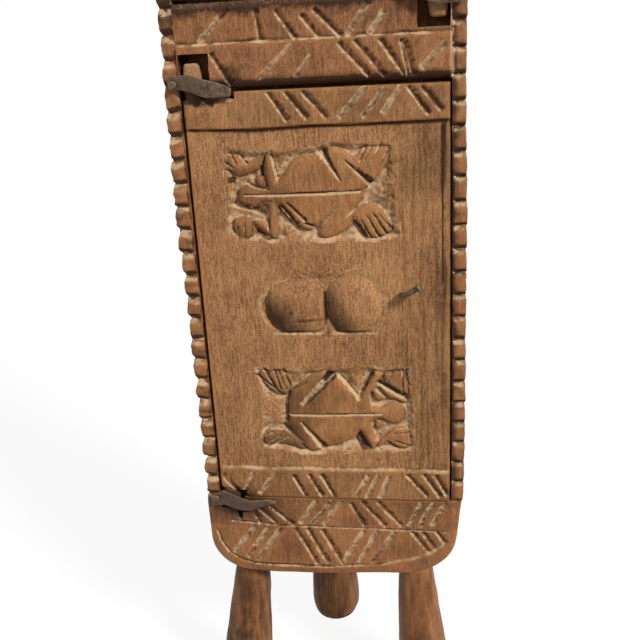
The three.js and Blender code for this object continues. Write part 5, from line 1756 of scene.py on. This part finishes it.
for door_name, turned in (("lower_door", False), ("upper_door", True)):
    for number, (place, kind) in enumerate(STRAPS.items()):
        node = f"{door_name}_{place}"
        plate = strap(node + "_iron", kind, 600 + 10 * number + 40 * turned)
        if turned:
            plate.data.transform(half_turn())
        weathered(plate, iron_weather)
        coated(plate, forged_iron)
        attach(plate, "box")
        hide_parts(node)


# Nails: the head of each strap nail is a flat-topped lump, hammered down onto the plate, with a
# square shank in the wood behind.
NAIL_PLACE = (0.09, 0.6)
NAIL_HEAD = 3.0
NAIL_HEAD_HEIGHT = 1.6
NAIL_SHANK = 1.2
NAIL_LENGTH = 24.0


def nail_tree():
    """A hammered nail at every point, each turned round by chance."""
    tree, given = growing_tree("strap_nails", "Places", {
        "Head": ("NodeSocketFloat", NAIL_HEAD / 1000),
        "Head Height": ("NodeSocketFloat", NAIL_HEAD_HEIGHT / 1000),
        "Shank": ("NodeSocketFloat", NAIL_SHANK / 1000),
        "Length": ("NodeSocketFloat", NAIL_LENGTH / 1000),
        "Unevenness": ("NodeSocketFloat", 0.0005),
        "Seed": ("NodeSocketInt", 4),
    }, "Nails")
    top = maths(tree, "MULTIPLY", given["Head"], 0.72)
    head = add(tree, "GeometryNodeMeshCone", {
        "Vertices": 11, "Side Segments": 4, "Fill Segments": 3, "Radius Top": top,
        "Radius Bottom": given["Head"], "Depth": given["Head Height"],
    }, fill_type="TRIANGLE_FAN").outputs["Mesh"]
    shank = add(tree, "GeometryNodeMeshCone", {
        "Vertices": 4, "Side Segments": 3, "Radius Top": given["Shank"], "Radius Bottom": 0.0003,
        "Depth": given["Length"],
    }).outputs["Mesh"]
    sink = maths(tree, "MULTIPLY", given["Length"], -0.99)
    lower = add(tree, "ShaderNodeCombineXYZ", {"Z": sink}).outputs[0]
    shank = add(tree, "GeometryNodeTransform", {"Geometry": shank, "Translation": lower}).outputs[0]
    nail = add(tree, "GeometryNodeJoinGeometry")
    tree.links.new(head, nail.inputs[0])
    tree.links.new(shank, nail.inputs[0])
    outward = add(tree, "GeometryNodeTransform", {
        "Geometry": nail.outputs[0], "Rotation": (math.pi / 2, 0, 0),
    }).outputs[0]
    points = add(tree, "GeometryNodeMeshToPoints", {"Mesh": given["Places"]}).outputs[0]
    turn = add(tree, "FunctionNodeRandomValue", {
        0: (-0.05, -3.1, -0.05), 1: (0.05, 3.1, 0.05), "Seed": given["Seed"],
    }, data_type="FLOAT_VECTOR").outputs[0]
    driven = add(tree, "GeometryNodeInstanceOnPoints", {
        "Points": points, "Instance": outward, "Rotation": turn,
    }).outputs[0]
    return finish_tree(tree, given, driven, 420.0)


nail_places = []
for kind in STRAPS.values():
    x = STRAP_LEFT + NAIL_PLACE[0] * kind["length"]
    z = kind["bottom"] + NAIL_PLACE[1] * kind["height"]
    y = -2 * STRAP_SEAT - STRAP_THICK - NAIL_HEAD_HEIGHT + 0.35
    nail_places += [(x, y, z), (-x, y, BOX_HEIGHT - z)]
nail_mesh = bpy.data.meshes.new("strap_nails")
nail_mesh.from_pydata(in_frame(nail_places).tolist(), [], [])
nails = grown(stood("strap_nails", nail_mesh), nail_tree(), {"Material": forged_iron})
weathered(nails, iron_weather)
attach(nails, "box")
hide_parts("lower_door_head_strap_nail", "lower_door_foot_strap_nail",
            "upper_door_head_strap_nail", "upper_door_foot_strap_nail")


# Pulls: a large forged nail driven into each door near its free edge, and bent over sideways and
# upwards, to be caught with a finger.
PULL_X = 57.75
PULL_Z = 243.5
PULL_LINE = [(0, 11, 0), (0, 7, 0), (0, 2, 0), (1.7, -4.6, 1.0), (7.0, -8.8, 4.2),
             (14.0, -9.6, 8.5)]
PULL_RADIUS = 1.9
PULL_HEAD = 3.7


def pull(name, seed):
    """A bent nail with its head, round its smoothed line."""
    line = np.asarray(PULL_LINE, float)
    steps = np.linspace(0, len(line) - 1, 70)
    centres = np.stack([np.interp(steps, np.arange(len(line)), line[:, i]) for i in range(3)], 1)
    for _ in range(26):
        centres[1:-1] = (centres[:-2] + 2 * centres[1:-1] + centres[2:]) / 4
    ahead = centres[-1] - centres[-2]
    ahead /= np.linalg.norm(ahead)
    tip = centres[-1]
    extra = np.array([tip + ahead * d for d in (-1.2, -1.1, -0.6, 0.2, 0.9, 1.2)])
    centres = np.concatenate([centres[:-7], extra]) + (PULL_X, 0, PULL_Z)
    turn = full_turn(24)
    radii = np.full(len(centres), PULL_RADIUS)
    radii[-6:] = (PULL_RADIUS, PULL_HEAD * 0.86, PULL_HEAD, PULL_HEAD * 0.97, PULL_HEAD * 0.8, 1.6)
    sections = []
    for number, radius in enumerate(radii):
        squared = radius * (1 + 0.07 * np.cos(4 * turn))
        lumpy = 1 + 0.07 * waver(np.cos(turn) * 4, np.sin(turn) * 4 + number / 6, 3, seed)
        r = squared * lumpy
        sections.append(np.stack([r * np.cos(turn), r * np.sin(turn)], 1))
    return tube(name, centres, sections)


for door_name, turned in (("lower_door", False), ("upper_door", True)):
    nail = pull(door_name + "_bent_nail", 700 + turned)
    if turned:
        nail.data.transform(half_turn())
    weathered(nail, iron_weather)
    coated(nail, forged_iron)
    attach(nail, door_name)
    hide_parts(door_name + "_pull")
